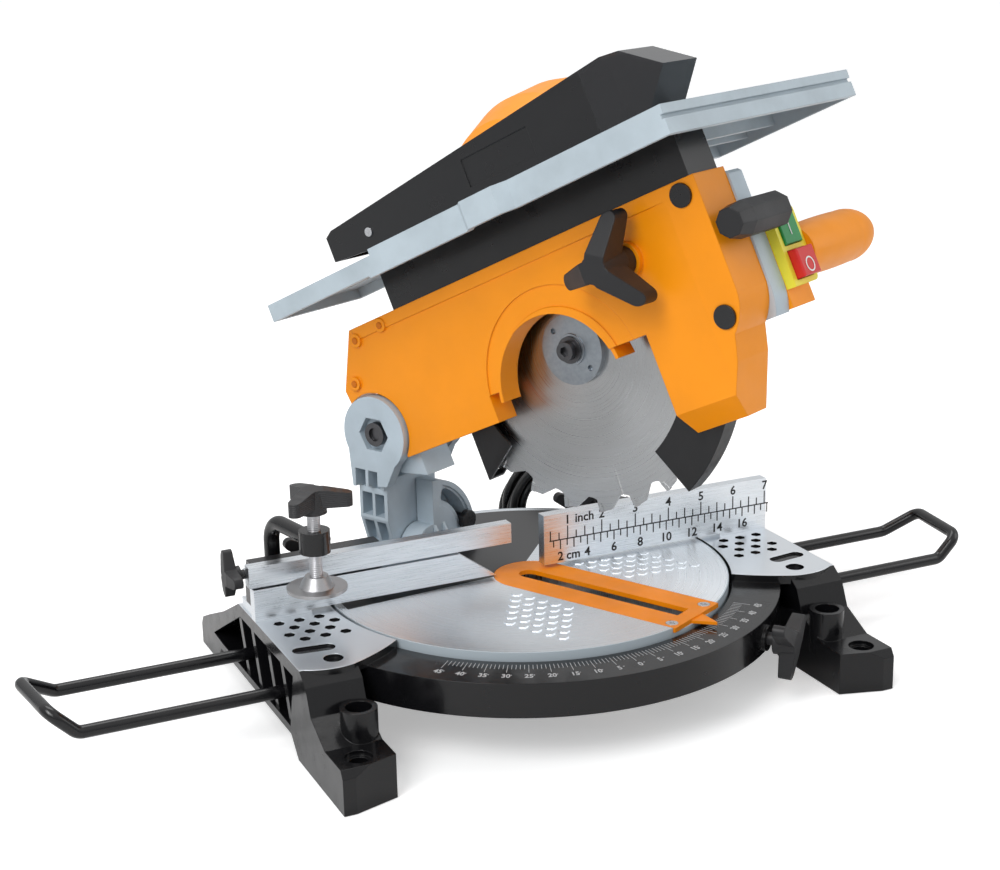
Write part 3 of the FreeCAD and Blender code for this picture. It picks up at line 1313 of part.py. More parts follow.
def drive_belt():
    """Belt round the two pulleys."""
    left = WEB_RIGHT + 4
    span = (left + 1, left + PULLEY_WIDTH - 1)
    inner = BODY_GAP
    outer = BODY_GAP + BELT_THICK
    loop = strap("x", ARBOR, BLADE_PULLEY + outer, MOTOR, MOTOR_PULLEY + outer, span)
    return loop.cut(strap("x", ARBOR, BLADE_PULLEY + inner, MOTOR, MOTOR_PULLEY + inner, span))


def arbor():
    """Blade arbor with its inner flange."""
    left = BLADE_LEFT + BLADE_THICK
    shaft = rod("x", ARBOR, (left, WEB_RIGHT + 4 + PULLEY_WIDTH), ARBOR_RADIUS)
    flange = rod("x", ARBOR, (left, left + INNER_FLANGE), FLANGE_RADIUS)
    pilot = rod("x", ARBOR, (BLADE_LEFT, left + 1), 7.0)
    return fuse([shaft, flange, pilot])


def blade():
    """Saw blade: 24 teeth with gullets and carbide tips, expansion slots and a bore."""
    step = 360.0 / BLADE_TEETH
    corners = []
    for tooth in range(BLADE_TEETH):
        base = tooth * step
        corners.append(polar(ARBOR, BLADE_RADIUS, base))
        corners.append(polar(ARBOR, BLADE_ROOT, base + 0.8))
        corners.append(arc_to(ARBOR, BLADE_ROOT - 1.5, base + 1.6, base + 5.0))
        corners.append(polar(ARBOR, BLADE_RADIUS - 1.6, base + 10.0))
    span = (BLADE_LEFT, BLADE_LEFT + BLADE_THICK)
    body = slab("x", corners, span)
    middle = BLADE_LEFT + BLADE_THICK / 2
    tips = [
        slab("x", [
            polar(ARBOR, BLADE_RADIUS, tooth * step),
            polar(ARBOR, BLADE_RADIUS - 6, tooth * step + 0.6),
            polar(ARBOR, BLADE_RADIUS - 6, tooth * step - 0.9),
            polar(ARBOR, BLADE_RADIUS - 0.3, tooth * step - 1.5),
        ], (middle - TOOTH_WIDTH / 2, middle + TOOTH_WIDTH / 2))
        for tooth in range(BLADE_TEETH)
    ]
    slots = [
        sector("x", ARBOR, (BLADE_ROOT - 18, BLADE_RADIUS), (turn + 3.0, turn + 3.8), (-5, 5))
        for turn in range(0, 360, 90)
    ]
    bore = rod("x", ARBOR, (-5, 5), 7.0)
    return cut(fuse([body] + tips), slots + [bore])


def outer_flange():
    """Outer blade flange with two spanner holes."""
    span = (BLADE_LEFT - OUTER_FLANGE, BLADE_LEFT)
    disc = rod("x", ARBOR, span, FLANGE_RADIUS)
    hub = rod("x", ARBOR, (span[0] - 1.2, span[0]), 10.0)
    holes = [rod("x", polar(ARBOR, 17.0, angle), (span[0] - 1, span[0] + 2.5), 1.8) for angle in (60, 240)]
    return cut(fuse([disc, hub]), holes + [rod("x", ARBOR, (span[0] - 2, span[1] + 1), 4.0)])


def blade_bolt():
    """Socket-head bolt with its washer, into the end of the arbor."""
    face = BLADE_LEFT - OUTER_FLANGE - 1.2
    washer = rod("x", ARBOR, (face - 1.5, face), 8.5)
    head = rod("x", ARBOR, (face - 6.5, face - 1.5), 6.0)
    head = head.cut(slab("x", hexagon(ARBOR, 3.4), (face - 7, face - 3)))
    shank = rod("x", ARBOR, (face, BLADE_LEFT), 3.9)
    return fuse([washer, head, shank])


def bearings():
    """Two ball bearings of the arbor."""
    right = WEB_RIGHT + 3
    rings = []
    for span in ((8, 8 + BEARING_WIDTH), (right - BEARING_WIDTH, right)):
        rings.append(tube("x", ARBOR, span, BEARING_OUTER - RUN_GAP, ARBOR_RADIUS + RUN_GAP))
    return Part.makeCompound(rings)


def guard_channel(start, end, left, right):
    """Channel that wraps the blade's edge between two angles."""
    rim = sector("x", ARBOR, (GUARD_OUTER - GUARD_WALL, GUARD_OUTER), (start, end), (left, right))
    outer_side = sector("x", ARBOR, (GUARD_INNER, GUARD_OUTER), (start, end), (left, left + GUARD_WALL))
    return [rim, outer_side]


def lower_guard():
    """Swinging guard: channel over the blade's edge, on a plate that turns about the arbor boss."""
    pieces = guard_channel(GUARD_START, GUARD_END, GUARD_LEFT, GUARD_RIGHT)
    side = sector("x", ARBOR, (GUARD_HUB, GUARD_OUTER), (GUARD_START, GUARD_END),
                  (GUARD_RIGHT - GUARD_WALL, GUARD_RIGHT))
    hub = tube("x", ARBOR, (GUARD_RIGHT - GUARD_WALL, GUARD_RIGHT), GUARD_HUB + 7, GUARD_HUB - 1.5 + RUN_GAP * 2)
    cap = sector("x", ARBOR, (GUARD_INNER, GUARD_OUTER), (GUARD_END - 1.2, GUARD_END), (GUARD_LEFT, -4.5))
    return fuse(pieces + [side, hub, cap])


def rear_guard():
    """Fixed guard piece behind the blade, on the web."""
    pieces = guard_channel(REAR_GUARD_START, REAR_GUARD_END, GUARD_LEFT, WEB_LEFT)
    side = sector("x", ARBOR, (GUARD_INNER + 4, GUARD_OUTER), (REAR_GUARD_START, REAR_GUARD_END),
                  (WEB_LEFT - 2, WEB_LEFT))
    return fuse(pieces + [side]).cut(block((-40, 40), (-60.3, 0), (-60, 60)))


def riving_knife():
    """Riving knife behind the blade, with its foot on the web and the hood's pin."""
    left = BLADE_LEFT
    plate = slab("x", [
        (-52, 30),
        (-27, 30),
        (-30, 96),
        (-42, 131),
        (-62, 133),
        polar(ARBOR, BLADE_RADIUS + 6, 62),
        arc_to(ARBOR, BLADE_RADIUS + 6, 62, 16),
    ], (left, left + KNIFE_THICK))
    foot = block((left, WEB_LEFT), (-46, -30), (34, 56))
    pin = rod("x", (HOOD_PIN_Y, HOOD_PIN_Z), (-HOOD_HALF - 1, HOOD_HALF + 1), HOOD_PIN_RADIUS)
    return fuse([plate, foot, pin])


# Upper table
def table_plan():
    """Plan outline of the upper table, x then y; the left edge bulges and the right rear is cut out."""
    return [
        (TOP_LEFT, TOP_REAR),
        (TOP_LEFT, -165),
        (TOP_LEFT - TOP_BULGE, -172),
        (TOP_LEFT - TOP_BULGE, -198),
        (TOP_LEFT, -205),
        (TOP_LEFT, TOP_FRONT),
        (TOP_RIGHT, TOP_FRONT),
        (TOP_RIGHT, TOP_CUT_Y),
        (TOP_TONGUE, TOP_CUT_Y),
        (TOP_TONGUE, TOP_REAR),
    ]


def upper_table():
    """Upper table: ribbed plate with rims, saw slot, lower rear part and guide posts."""
    plan = table_plan()
    low = TOP_Z - TOP_EDGE
    body = slab("z", plan, (low, TOP_Z))
    inner = Part.Face(outline("z", plan, low - 1)).makeOffset2D(-TOP_WALL)
    body = body.cut(inner.extrude(Z_AXIS * (TOP_EDGE - TOP_THICK + 1)))
    step = block((TOP_LEFT - 10, TOP_RIGHT), (TOP_STEP_Y, TOP_REAR + 1), (TOP_Z - TOP_STEP, TOP_Z + 1))
    under = block((TOP_LEFT - 10, TOP_RIGHT), (TOP_STEP_Y + 6, TOP_REAR + 1), (low - 1, low + 1.5))
    floor = block((TOP_LEFT + 1, TOP_TONGUE - 1), (TOP_STEP_Y - 4, TOP_REAR - 1),
                  (TOP_Z - TOP_STEP - TOP_THICK, TOP_Z - TOP_STEP))
    slot = block((SAW_SLOT_LEFT, SAW_SLOT_RIGHT), (SAW_SLOT_FRONT, SAW_SLOT_REAR), (low - 2, TOP_Z + 1))
    posts = [
        rod("z", (WEB_RIGHT + POST_OUT, y), (WEB_TOP - TABLE_TRAVEL - 22, TOP_Z - 2), POST_RADIUS)
        for y in (POST_FRONT, POST_REAR)
    ]
    grooves = [
        block((TOP_LEFT - 1, TOP_RIGHT + 1), (TOP_FRONT - 1, TOP_FRONT + 2.0), (TOP_Z - 8.0, TOP_Z - 5.5)),
    ]
    body = fuse([body, floor]).cut(step)
    body = cut(body, [under, slot] + grooves)
    ribs = [block((24, TOP_RIGHT - 2), (y, y + 3), (low + 4, TOP_Z - 2)) for y in (-300, -262, -240)]
    return fuse([body] + ribs + posts)


def table_skirt():
    """Black skirt under the table: flange against the plate and walls that run down into the cover."""
    left = COVER_LEFT + COVER_WALL + 0.6
    low = TOP_Z - TOP_EDGE
    plate = TOP_Z - TOP_THICK - TOP_STEP
    wall = block((left, left + SKIRT_WALL), (SKIRT_FRONT, SKIRT_REAR), (SKIRT_BOTTOM, plate))
    front = block((left, WEB_LEFT - 1), (SKIRT_FRONT, SKIRT_FRONT + SKIRT_WALL), (SKIRT_BOTTOM, plate))
    flange = block((TOP_LEFT + TOP_WALL + 0.5, left + SKIRT_WALL), (TOP_FRONT + 6, SKIRT_REAR + 30),
                   (plate - 2.0, plate))
    screw_slot = strap("x", (TABLE_KNOB_Y, SKIRT_BOTTOM - 10), TABLE_SCREW_RADIUS + 1.0,
                       (TABLE_KNOB_Y, TABLE_KNOB_Z + TABLE_TRAVEL + 1), TABLE_SCREW_RADIUS + 1.0,
                       (left - 1, left + SKIRT_WALL + 1))
    rise = ARCH_Z + TABLE_TRAVEL + BODY_GAP
    arch_room = rod("x", (ARCH_Y, rise), (left - 1, left + SKIRT_WALL + 1), ARCH_RADIUS + COVER_WALL + 1)
    return cut(fuse([wall, front, flange]), [screw_slot, arch_room])


def table_lock_knob():
    """Large three-arm knob that clamps the table's height."""
    knob = three_arm_knob(10.5, 32.0, 22.0, 14.0, 9.0, 0.0)
    seat = COVER_LEFT - 4 - BODY_GAP
    neck = rod("z", (0, 0), (-9, 1), 9.0)
    stud = rod("z", (0, 0), (-19, 1), TABLE_SCREW_RADIUS)
    return aim(fuse([knob, neck, stud]), V(seat - 9, TABLE_KNOB_Y, TABLE_KNOB_Z), V(-1, 0, 0), 90)


def hood_outline(grow):
    """Side outline of the blade hood."""
    return [
        (-10 - grow, 115 + 1),
        (-10 - grow, 133 - grow),
        (-16, 136 - grow),
        (-262, 154 - grow),
        (-276 + grow, 152 - grow),
        (-301 + grow * 1.4, 134),
        (-282 + grow, 113),
        (-245, 109.5),
        (-90, 109.5),
    ]


def hood_shell(front, rear):
    """Hollow hood between two limits along its length."""
    outer = slab("x", hood_outline(0), (-HOOD_HALF, HOOD_HALF))
    inner = slab("x", hood_outline(HOOD_WALL), (-HOOD_HALF + HOOD_WALL, HOOD_HALF - HOOD_WALL))
    mouth = block((-HOOD_HALF + HOOD_WALL, HOOD_HALF - HOOD_WALL), (-280, -12), (100, 122))
    keep = block((-40, 40), (front, rear), (90, 170))
    return cut(outer, [inner, mouth]).common(keep)


def table_guard_hood():
    """Black hood over the blade, hinged on the riving knife."""
    shell = hood_shell(HOOD_JOIN, 0)
    bore = rod("x", (HOOD_PIN_Y, HOOD_PIN_Z), (-40, 40), HOOD_PIN_RADIUS + RUN_GAP)
    panel = block((-HOOD_HALF - 1, -HOOD_HALF + 0.8), (-196, -140), (120, 138))
    return cut(shell, [bore, panel])


def hood_window():
    """Clear smoked front of the hood."""
    return hood_shell(-310, HOOD_JOIN)


# Switch, handle and head lock
def switch_front():
    """Front face of the switch box."""
    return WEB_FRONT - SWITCH_PROUD


def switch_box():
    """Switch box: a frame on the front of the handle housing, with a body behind it and two wells."""
    right = WEB_RIGHT + BODY_GAP + SWITCH_WIDTH
    left = WEB_RIGHT + BODY_GAP
    frame = block((left, right), (switch_front(), WEB_FRONT), (SWITCH_BOTTOM, SWITCH_TOP))
    corners = [edge for edge in frame.Edges if edge.BoundBox.YLength > SWITCH_PROUD / 2]
    frame = frame.makeFillet(4.0, [edge for edge in corners if edge.BoundBox.XMin > left + 1])
    body = block(*switch_body_limits(0))
    wells = []
    for low, height in button_levels():
        wells.append(block(
            (button_left() - BUTTON_GAP, button_left() + BUTTON_WIDTH + BUTTON_GAP),
            (switch_front() - 1, switch_front() + BUTTON_DEPTH + BUTTON_TRAVEL + BUTTON_GAP),
            (low - BUTTON_GAP, low + height + BUTTON_GAP),
        ))
    return cut(fuse([frame, body]), wells)


def switch_body_limits(grow):
    """Limits of the part of the switch box that lies inside the housing."""
    left = WEB_RIGHT + BODY_GAP + SWITCH_BORDER
    return (
        (left - grow, left + SWITCH_WIDTH - 2 * SWITCH_BORDER + grow),
        (WEB_FRONT - 1, WEB_FRONT + SWITCH_DEPTH + grow),
        (SWITCH_BOTTOM + SWITCH_BORDER - grow, SWITCH_TOP - SWITCH_BORDER + grow),
    )


def button_left():
    """Left edge of both buttons."""
    return WEB_RIGHT + BODY_GAP + (SWITCH_WIDTH - BUTTON_WIDTH) / 2


def button_levels():
    """Lower edge and height of the off button and of the on button."""
    spare = SWITCH_TOP - SWITCH_BOTTOM - OFF_HEIGHT - ON_HEIGHT
    return (
        (SWITCH_BOTTOM + spare / 3, OFF_HEIGHT),
        (SWITCH_BOTTOM + 2 * spare / 3 + OFF_HEIGHT, ON_HEIGHT),
    )


def button(level, proud):
    """One push button, proud of the box."""
    low, height = level
    body = block((button_left(), button_left() + BUTTON_WIDTH),
                 (switch_front() - proud, switch_front() + BUTTON_DEPTH), (low, low + height))
    edges = [edge for edge in body.Edges if edge.BoundBox.YMax < switch_front() - proud / 2]
    return body.makeFillet(min(1.2, proud / 2), edges)


def handle():
    """Handle: a housing beside the web that holds the switch box, and the grip to its right."""
    housing = block((WEB_RIGHT, HOUSING_RIGHT), (WEB_FRONT, HOUSING_REAR), (HOUSING_BOTTOM, HOUSING_TOP))
    edges = [edge for edge in housing.Edges if edge.BoundBox.XMin > WEB_RIGHT + 1]
    housing = housing.makeFillet(4.0, edges)
    half = [
        (HOUSING_RIGHT + share * GRIP_LENGTH, GRIP_Z + width * GRIP_RADIUS)
        for share, width in GRIP_STATIONS
    ]
    start = HOUSING_RIGHT - 0.6
    section = [
        (start, GRIP_Z),
        (start, half[0][1]),
        half[0],
        half[1] + half[2],
        half[3] + half[4],
        half[5] + half[6],
        (HOUSING_RIGHT + GRIP_LENGTH, GRIP_Z),
    ]
    grip = Part.Face(outline("y", section, GRIP_Y)).revolve(V(0, GRIP_Y, GRIP_Z), X_AXIS, 360)
    return fuse([housing, grip]).cut(block(*switch_body_limits(BODY_GAP)))


def head_lock_handle():
    """Handle whose stem runs back into the web; pulled forward, it frees the head."""
    stem_x = WEB_RIGHT / 2
    corners = [polar((LOCK_Y, LOCK_Z), LOCK_RADIUS, 22.5 + 45 * side) for side in range(8)]
    grip = slab("x", corners, (-18, 21.5))
    tip = Part.makeLoft([
        outline("x", corners, -18),
        outline("x", [polar((LOCK_Y, LOCK_Z), LOCK_RADIUS * 0.8, 22.5 + 45 * side) for side in range(8)], -30),
    ], True, True)
    stem = rod("y", (stem_x, LOCK_Z), (LOCK_Y, WEB_FRONT + 20), LOCK_STEM)
    return fuse([grip, tip, stem])


# Cord
def coil_radius(step):
    """Radius of a half turn, counted from the start: the coil spirals in, then out again, at one rate."""
    per_layer = 2 * COIL_TURNS
    phase = step % (2 * per_layer)
    return COIL_INNER + abs(per_layer - phase) * COIL_PITCH / 2


def coil_centre():
    """Centre of the coil, which stands on the bench behind the base."""
    outer = coil_radius(0)
    return (COIL_X, outer + CORD_RADIUS + COIL_FLOOR_GAP)


def quarter_arc(start, out, onward):
    """Quarter turn from a place along one direction to the next, and its end."""
    reach = out.Length
    first = out.normalize()
    middle = start + onward * reach + (first - onward) * (reach / math.sqrt(2))
    end = start + onward * reach + first * reach
    return Part.Arc(start, middle, end).toShape(), end


def half_turn(here, side, rise, radius, climb):
    """Two quarter arcs that turn back over a height of two radii and move on by a climb."""
    reach = math.hypot(radius, climb / 2)
    onward = V(0, climb / 2, rise * radius) * (1 / reach)
    first, join = quarter_arc(here, X_AXIS * (side * reach), onward)
    second, end = quarter_arc(join, onward * reach, X_AXIS * -side)
    return [first, second], end


def coil_edges():
    """Turns of the coil; it spirals in one layer, climbs, and spirals out in the next."""
    per_layer = 2 * COIL_TURNS
    steps = per_layer * COIL_LAYERS
    centre_x, centre_z = coil_centre()
    here = V(centre_x, COIL_Y, centre_z - coil_radius(0))
    edges = [Part.LineSegment(here - X_AXIS * COIL_END, here).toShape()]
    for step in range(steps):
        reverses = step > 0 and step % per_layer == 0
        way = 1 if step % 2 == 0 else -1
        pair, here = half_turn(here, way, way, coil_radius(step), COIL_PITCH if reverses else 0.0)
        edges.extend(pair)
    end = here + X_AXIS * COIL_END
    edges.append(Part.LineSegment(here, end).toShape())
    return edges, end


def least_gap(edges, radius):
    """Least gap between a tube's turns, measured on points along its path."""
    spots = []
    run = 0.0
    for edge in edges:
        for spot in edge.discretize(Number=9)[:-1]:
            spots.append((run + (spot - edge.firstVertex().Point).Length, spot))
        run += edge.Length
    least = 1000.0
    for index, (place, spot) in enumerate(spots):
        for other_place, other in spots[index + 1:]:
            if other_place - place > 8 * radius:
                least = min(least, spot.distanceToPoint(other))
    return least - 2 * radius


def gland_tip():
    """End of the gland, where the cord leaves it."""
    return V(CORD_EXIT_X, gland_seat() + GLAND_LENGTH, CORD_EXIT_Z)


def cord_gland():
    """Tapered strain relief in the rear wall of the base."""
    tip = gland_tip()
    seat = gland_seat()
    taper = cone("y", (CORD_EXIT_X, CORD_EXIT_Z), (seat, tip.y), 6.0, 4.2)
    collar = rod("y", (CORD_EXIT_X, CORD_EXIT_Z), (seat, seat + 3.5), 8.0)
    return fuse([taper, collar])


def lead_points():
    """Route of the lead from the gland to the coil, chosen by hand."""
    tip = gland_tip()
    centre_x, centre_z = coil_centre()
    floor = CORD_RADIUS + COIL_FLOOR_GAP
    return [
        tip,
        tip + V(0, 18, 0),
        tip + V(7.7, 35.4, -6.2),
        tip + V(21.3, 46.1, -16.2),
        tip + V(39.7, 50.0, -23.0),
        V(-19.9, 217.5, floor),
        V(0.4, 206.7, floor),
        V(16.4, 190.2, floor),
        V(32.9, 174.2, floor),
        V(54.8, 163.4, floor),
        V(74.0, COIL_Y, floor),
        V(centre_x - COIL_END, COIL_Y, floor),
    ]


def tail_points():
    """Route of the tail from the coil to the plug, chosen by hand."""
    last = coil_edges()[1]
    return [
        last,
        V(last.x + 14, last.y, last.z),
        V(last.x + 29, last.y + 5, last.z + 2.4),
        V(last.x + 43, last.y + 13, PLUG_HALF_THICK + COIL_FLOOR_GAP),
        V(last.x + 54, last.y + 20, PLUG_HALF_THICK + COIL_FLOOR_GAP),
    ]


def mains_plug():
    """Plug with two pins, lying behind the right rear leg."""
    path = tail_points()
    way = (path[-1] - path[-2]).normalize()
    body = fuse([
        cone("z", (0, 0), (0, 16), 4.2, 8.0),
        rod("z", (0, 0), (16, 38), 16.0).common(block((-16, 16), (-PLUG_HALF_THICK, PLUG_HALF_THICK),
                                                      (0, 40))),
        rod("z", (9.5, 0), (37, 57), 2.4),
        rod("z", (-9.5, 0), (37, 57), 2.4),
    ])
    flat = math.degrees(math.atan2(way.y, way.x)) - 90
    return aim(body, path[-1], way, flat)


def cord_tie():
    """Band that holds the coil's turns together at the top."""
    centre_x, centre_z = coil_centre()
    low = centre_z + coil_radius(0) - COIL_TURNS * COIL_PITCH - CORD_RADIUS - 2.2
    high = centre_z + coil_radius(0) + CORD_RADIUS + 2.2
    front = COIL_Y - CORD_RADIUS - 0.6
    rear = COIL_Y + (COIL_LAYERS - 1) * COIL_PITCH + CORD_RADIUS + 0.6
    outer = block((centre_x - 6, centre_x + 6), (front - 1.2, rear + 1.2), (low - 1.2, high + 1.2))
    return outer.cut(block((centre_x - 7, centre_x + 7), (front, rear), (low, high)))


def cord_stretches():
    """Tubes of the lead, the coil and the tail, with their measures printed."""
    lead, lead_radii = arc_chain(lead_points())
    tail, tail_radii = arc_chain(tail_points())
    coil = coil_edges()[0]
    tubes = {}
    for name, edges in (("cord_lead", lead), ("cord_coil", coil), ("cord_tail", tail)):
        tubes[name] = sweep(edges, CORD_RADIUS)
        length = sum(edge.Length for edge in edges)
        section = math.pi * CORD_RADIUS ** 2
        print(name, "length", round(length, 1), "volume over section times length",
              round(tubes[name].Volume / (section * length), 4))
    print("cord_lead radii", [round(radius, 1) for radius in lead_radii])
    print("cord_tail radii", [round(radius, 1) for radius in tail_radii])
    print("cord_coil least gap", round(least_gap(coil, CORD_RADIUS), 2))
    return tubes


def build():
    """Write every piece."""
    strip_middle = (STRIP_BOTTOM + STRIP_TOP) / 2
    base_pieces = {
        "base_casting": base_casting(),
        "fence_right": fence_right(),
        "fence_left": fence_left(),
        "fence_rail": fence_rail(),
        "sliding_fence": sliding_fence(),
        "fence_screws": fence_screws(),
        "fence_end_knob": fence_end_knob(),
        "fence_left_knob": rear_knob(-139, strip_middle, 3.0),
        "fence_right_knob": rear_knob(52, strip_middle, 17.0),
        "mitre_lock_knob": mitre_lock_knob(),
        "clamp_post": clamp_post(),
        "clamp_spindle": clamp_spindle(),
        "clamp_foot": clamp_foot(),
        "right_support_wire": support_wire(),
        "left_support_wire": mirror_x(support_wire()),
        "pivot_bolt": pivot_bolt(),
        "cord_gland": cord_gland(),
        **cord_stretches(),
        "mains_plug": mains_plug(),
        "cord_tie": cord_tie(),
    }
    saw_pieces = {
        "turntable": turntable(),
        "kerf_plate": kerf_plate(),
        "kerf_screws": kerf_screws(),
        "bevel_bracket": bevel_bracket(),
        "bevel_pivot_bolt": bevel_pivot_bolt(),
        "bevel_arm": bevel_arm(),
        "bevel_clamp_bolt": bevel_clamp_bolt(),
        "bevel_lock_knob": bevel_lock_knob(),
        "hinge_bolt": hinge_bolt(),
        "hinge_spring": hinge_spring(),
    }
    off_level, on_level = button_levels()
    head_pieces = {
        "head_casting": head_casting(),
        "blade_cover": blade_cover(),
        "cover_plugs": cover_plugs(),
        "cover_screws": cover_screws(),
        "motor_cover": motor_cover(),
        "motor_stator": motor_stator(),
        "motor_rotor": motor_rotor(),
        "motor_pulley": pulley(MOTOR, MOTOR_PULLEY, MOTOR_SHAFT),
        "blade_pulley": pulley(ARBOR, BLADE_PULLEY, ARBOR_RADIUS),
        "drive_belt": drive_belt(),
        "arbor": arbor(),
        "blade": blade(),
        "outer_flange": outer_flange(),
        "blade_bolt": blade_bolt(),
        "bearings": bearings(),
        "lower_guard": lower_guard(),
        "rear_guard": rear_guard(),
        "riving_knife": riving_knife(),
        "upper_table": upper_table(),
        "table_skirt": table_skirt(),
        "table_lock_knob": table_lock_knob(),
        "table_guard_hood": table_guard_hood(),
        "hood_window": hood_window(),
        "switch_box": switch_box(),
        "off_button": button(off_level, OFF_PROUD),
        "on_button": button(on_level, ON_PROUD),
        "handle": handle(),
        "head_lock_handle": head_lock_handle(),
    }
    for frame, pieces in ((BENCH, base_pieces), (SAW, saw_pieces), (HEAD, head_pieces)):
        for name, shape in pieces.items():
            save(name, shape, frame)


os.makedirs("parts", exist_ok=True)
build()
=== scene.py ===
import math

import bmesh
import bpy
from mathutils import Matrix, Vector


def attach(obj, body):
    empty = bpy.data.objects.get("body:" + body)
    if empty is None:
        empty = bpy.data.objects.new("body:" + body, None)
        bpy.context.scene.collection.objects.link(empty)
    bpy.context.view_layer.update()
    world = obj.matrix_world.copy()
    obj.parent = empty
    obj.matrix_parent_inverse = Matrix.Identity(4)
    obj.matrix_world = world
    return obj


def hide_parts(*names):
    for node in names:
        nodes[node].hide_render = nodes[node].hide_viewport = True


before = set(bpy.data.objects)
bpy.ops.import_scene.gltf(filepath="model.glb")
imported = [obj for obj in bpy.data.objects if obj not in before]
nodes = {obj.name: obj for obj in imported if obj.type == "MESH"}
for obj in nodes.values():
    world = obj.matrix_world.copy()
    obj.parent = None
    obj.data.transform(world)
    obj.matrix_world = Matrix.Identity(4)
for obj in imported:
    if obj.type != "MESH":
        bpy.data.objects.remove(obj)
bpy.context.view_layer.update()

MM = 0.001

# Places of the saw in the row frame, in millimetres and degrees
AXIS_Y = 11.8
TABLE_TOP = 61.0
MITRE = math.radians(27.65)
HINGE = (100.0, 146.7)
HEAD_DROP = math.radians(25.0)
BLADE_CENTRE = (-159.3, 4.6)

# Camera, from the solved view of the photograph
CAMERA_PLACE = (-0.47945, -1.00364, 0.48718)
CAMERA_AZIMUTH = math.radians(-24.51)
CAMERA_HEIGHT = math.radians(16.46)
CAMERA_ROLL = math.radians(-1.27)
CAMERA_LENS = 65.77
CAMERA_SENSOR = 36.0
CAMERA_REACH = 100.0

# Lamps: the way to each sun, the place of each panel in metres, and the spot that the panels face
SUNS = {
    "key_sun": {"toward": (-0.9, -0.45, 1.15), "strength": 1.05, "spread": 30},
    "fill_sun": {"toward": (0.8, -0.5, 0.7), "strength": 0.12, "spread": 60},
}
PANELS = {
    "left_panel": {"place": (-1.1, -0.9, 1.0), "width": 0.9, "height": 0.7, "power": 8},
    "right_panel": {"place": (1.2, -0.5, 0.7), "width": 0.7, "height": 0.9, "power": 3},
    "top_panel": {"place": (0.0, 0.5, 1.4), "width": 1.0, "height": 0.6, "power": 6},
}
PANEL_TARGET = (0, 0, 0.15)

# Surroundings: what the camera sees, what shiny surfaces mirror from low to high, and the plain light
SEEN_WHITE = (1, 1, 1, 1)
MIRRORED_LOW = (0.42, 0.43, 0.44, 1)
MIRRORED_HIGH = (0.95, 0.95, 0.95, 1)
MIRRORED_TOP = 0.75
PLAIN_TONE = (0.97, 0.985, 1.0, 1)
PLAIN_STRENGTH = 0.42

# Floor, in metres
FLOOR_REACH = 30.0
FLOOR_DROP = 0.0004
FLOOR_TONE = (0.9, 0.9, 0.9, 1)
FLOOR_ROUGHNESS = 0.8
FLOOR_GLOSS = 0.1
FLOOR_GLOW = 0.4

# Changes of finish on one piece, in millimetres; the thread's scale and the paint's slope are plain numbers
SHOULDER_LEVEL = 61.0
SHOULDER_SKIN = 0.15
SPINDLE_LEVEL = 134.8
THREAD_SCALE = 260.0
TABLE_PAINT_START = 5.5
TABLE_PAINT_SLOPE = 0.415
TABLE_PAINT_RADIUS = 126.5
TABLE_RIM_RADIUS = 131.2

# Marks, in millimetres and degrees
MARK_HEIGHT = 0.12
FIGURE_WEIGHT = 0.16
FIGURE_ROUNDNESS = 3
SCALE_LEVEL = 56.0
SCALE_END = 45
SCALE_STEP = 5
SCALE_INNER = 138.5
SCALE_SHORT = 144.5
SCALE_LONG = 149.3
SCALE_WIDTH = 0.32
SCALE_FIGURE = 6.6
SCALE_FIGURE_BASE = 156.4
SCALE_FIGURE_SLIM = 0.8
DEGREE_PLACE = (3.0, 3.4)
DEGREE_RING = (0.5, 0.25)
DEGREE_SIDES = 10
RULER_ZERO = 5.5
RULER_LINE = 79.6
RULER_FIRST = 12.0
RULER_LAST = 181.0
RULER_STROKE = 0.8
RULER_FIGURE = 8.6
RULER_RISE = 1.4
RULER_DROP = 7.8
QUARTER_INCH = 6.35
QUARTERS = range(2, 29)
INCH_TICKS = (9.0, 6.8, 5.0)
INCH_WORD = 38.0
HALF_CM = 5.0
HALVES = range(3, 37)
CM_TICKS = (6.6, 4.6)
CM_WORD = 29.5
LAST_CM_FIGURE = 16
OFF_FACE = (35.6, -312.7, 0.7)
OFF_RING = (4.6, 3.7)
ON_FACE = (35.6, -308.2, 25.0)
ON_BAR = (0.5, 4.6)

# Cord, in millimetres, on the route of the solid one; its length in metres
CORD_RADIUS = 3.1
CORD_REST = 3.4
CORD_ROUNDNESS = 5
CORD_SMOOTHNESS = 6
GLAND_TIP = (-80.0, 174.3, 30.0)
COIL_CENTRE_X = 100.0
COIL_START_Y = 158.0
COIL_INNER = 24.6
COIL_PITCH = 6.7
COIL_TURNS = 2
COIL_LAYERS = 4
COIL_STEPS = 8
COIL_END = 8.0
PLUG_REST = 9.3


def colour(red, green, blue):
    """A screen colour from 0 to 255 as a linear one."""
    def channel(value):
        share = value / 255
        return share / 12.92 if share <= 0.04045 else ((share + 0.055) / 1.055) ** 2.4
    return (channel(red), channel(green), channel(blue), 1.0)


# Part of a noise that its tints and roughness span, and samples of a softened edge
NOISE_SPAN = (0.3, 0.7)
EDGE_SAMPLES = 4

# Colours
SILVER = (0.84, 0.88, 0.92, 1)
SCREW_STEEL = (0.6, 0.6, 0.62, 1)
BLADE_STEEL = (0.42, 0.425, 0.43, 1)
BLACK_PAINT = colour(15, 15, 17)
TABLE_BLACK = colour(22, 22, 24)
RIM_GREY = colour(196, 208, 216)
SPINDLE_BLACK = colour(38, 38, 40)
SMOKE = (0.05, 0.05, 0.055, 1)

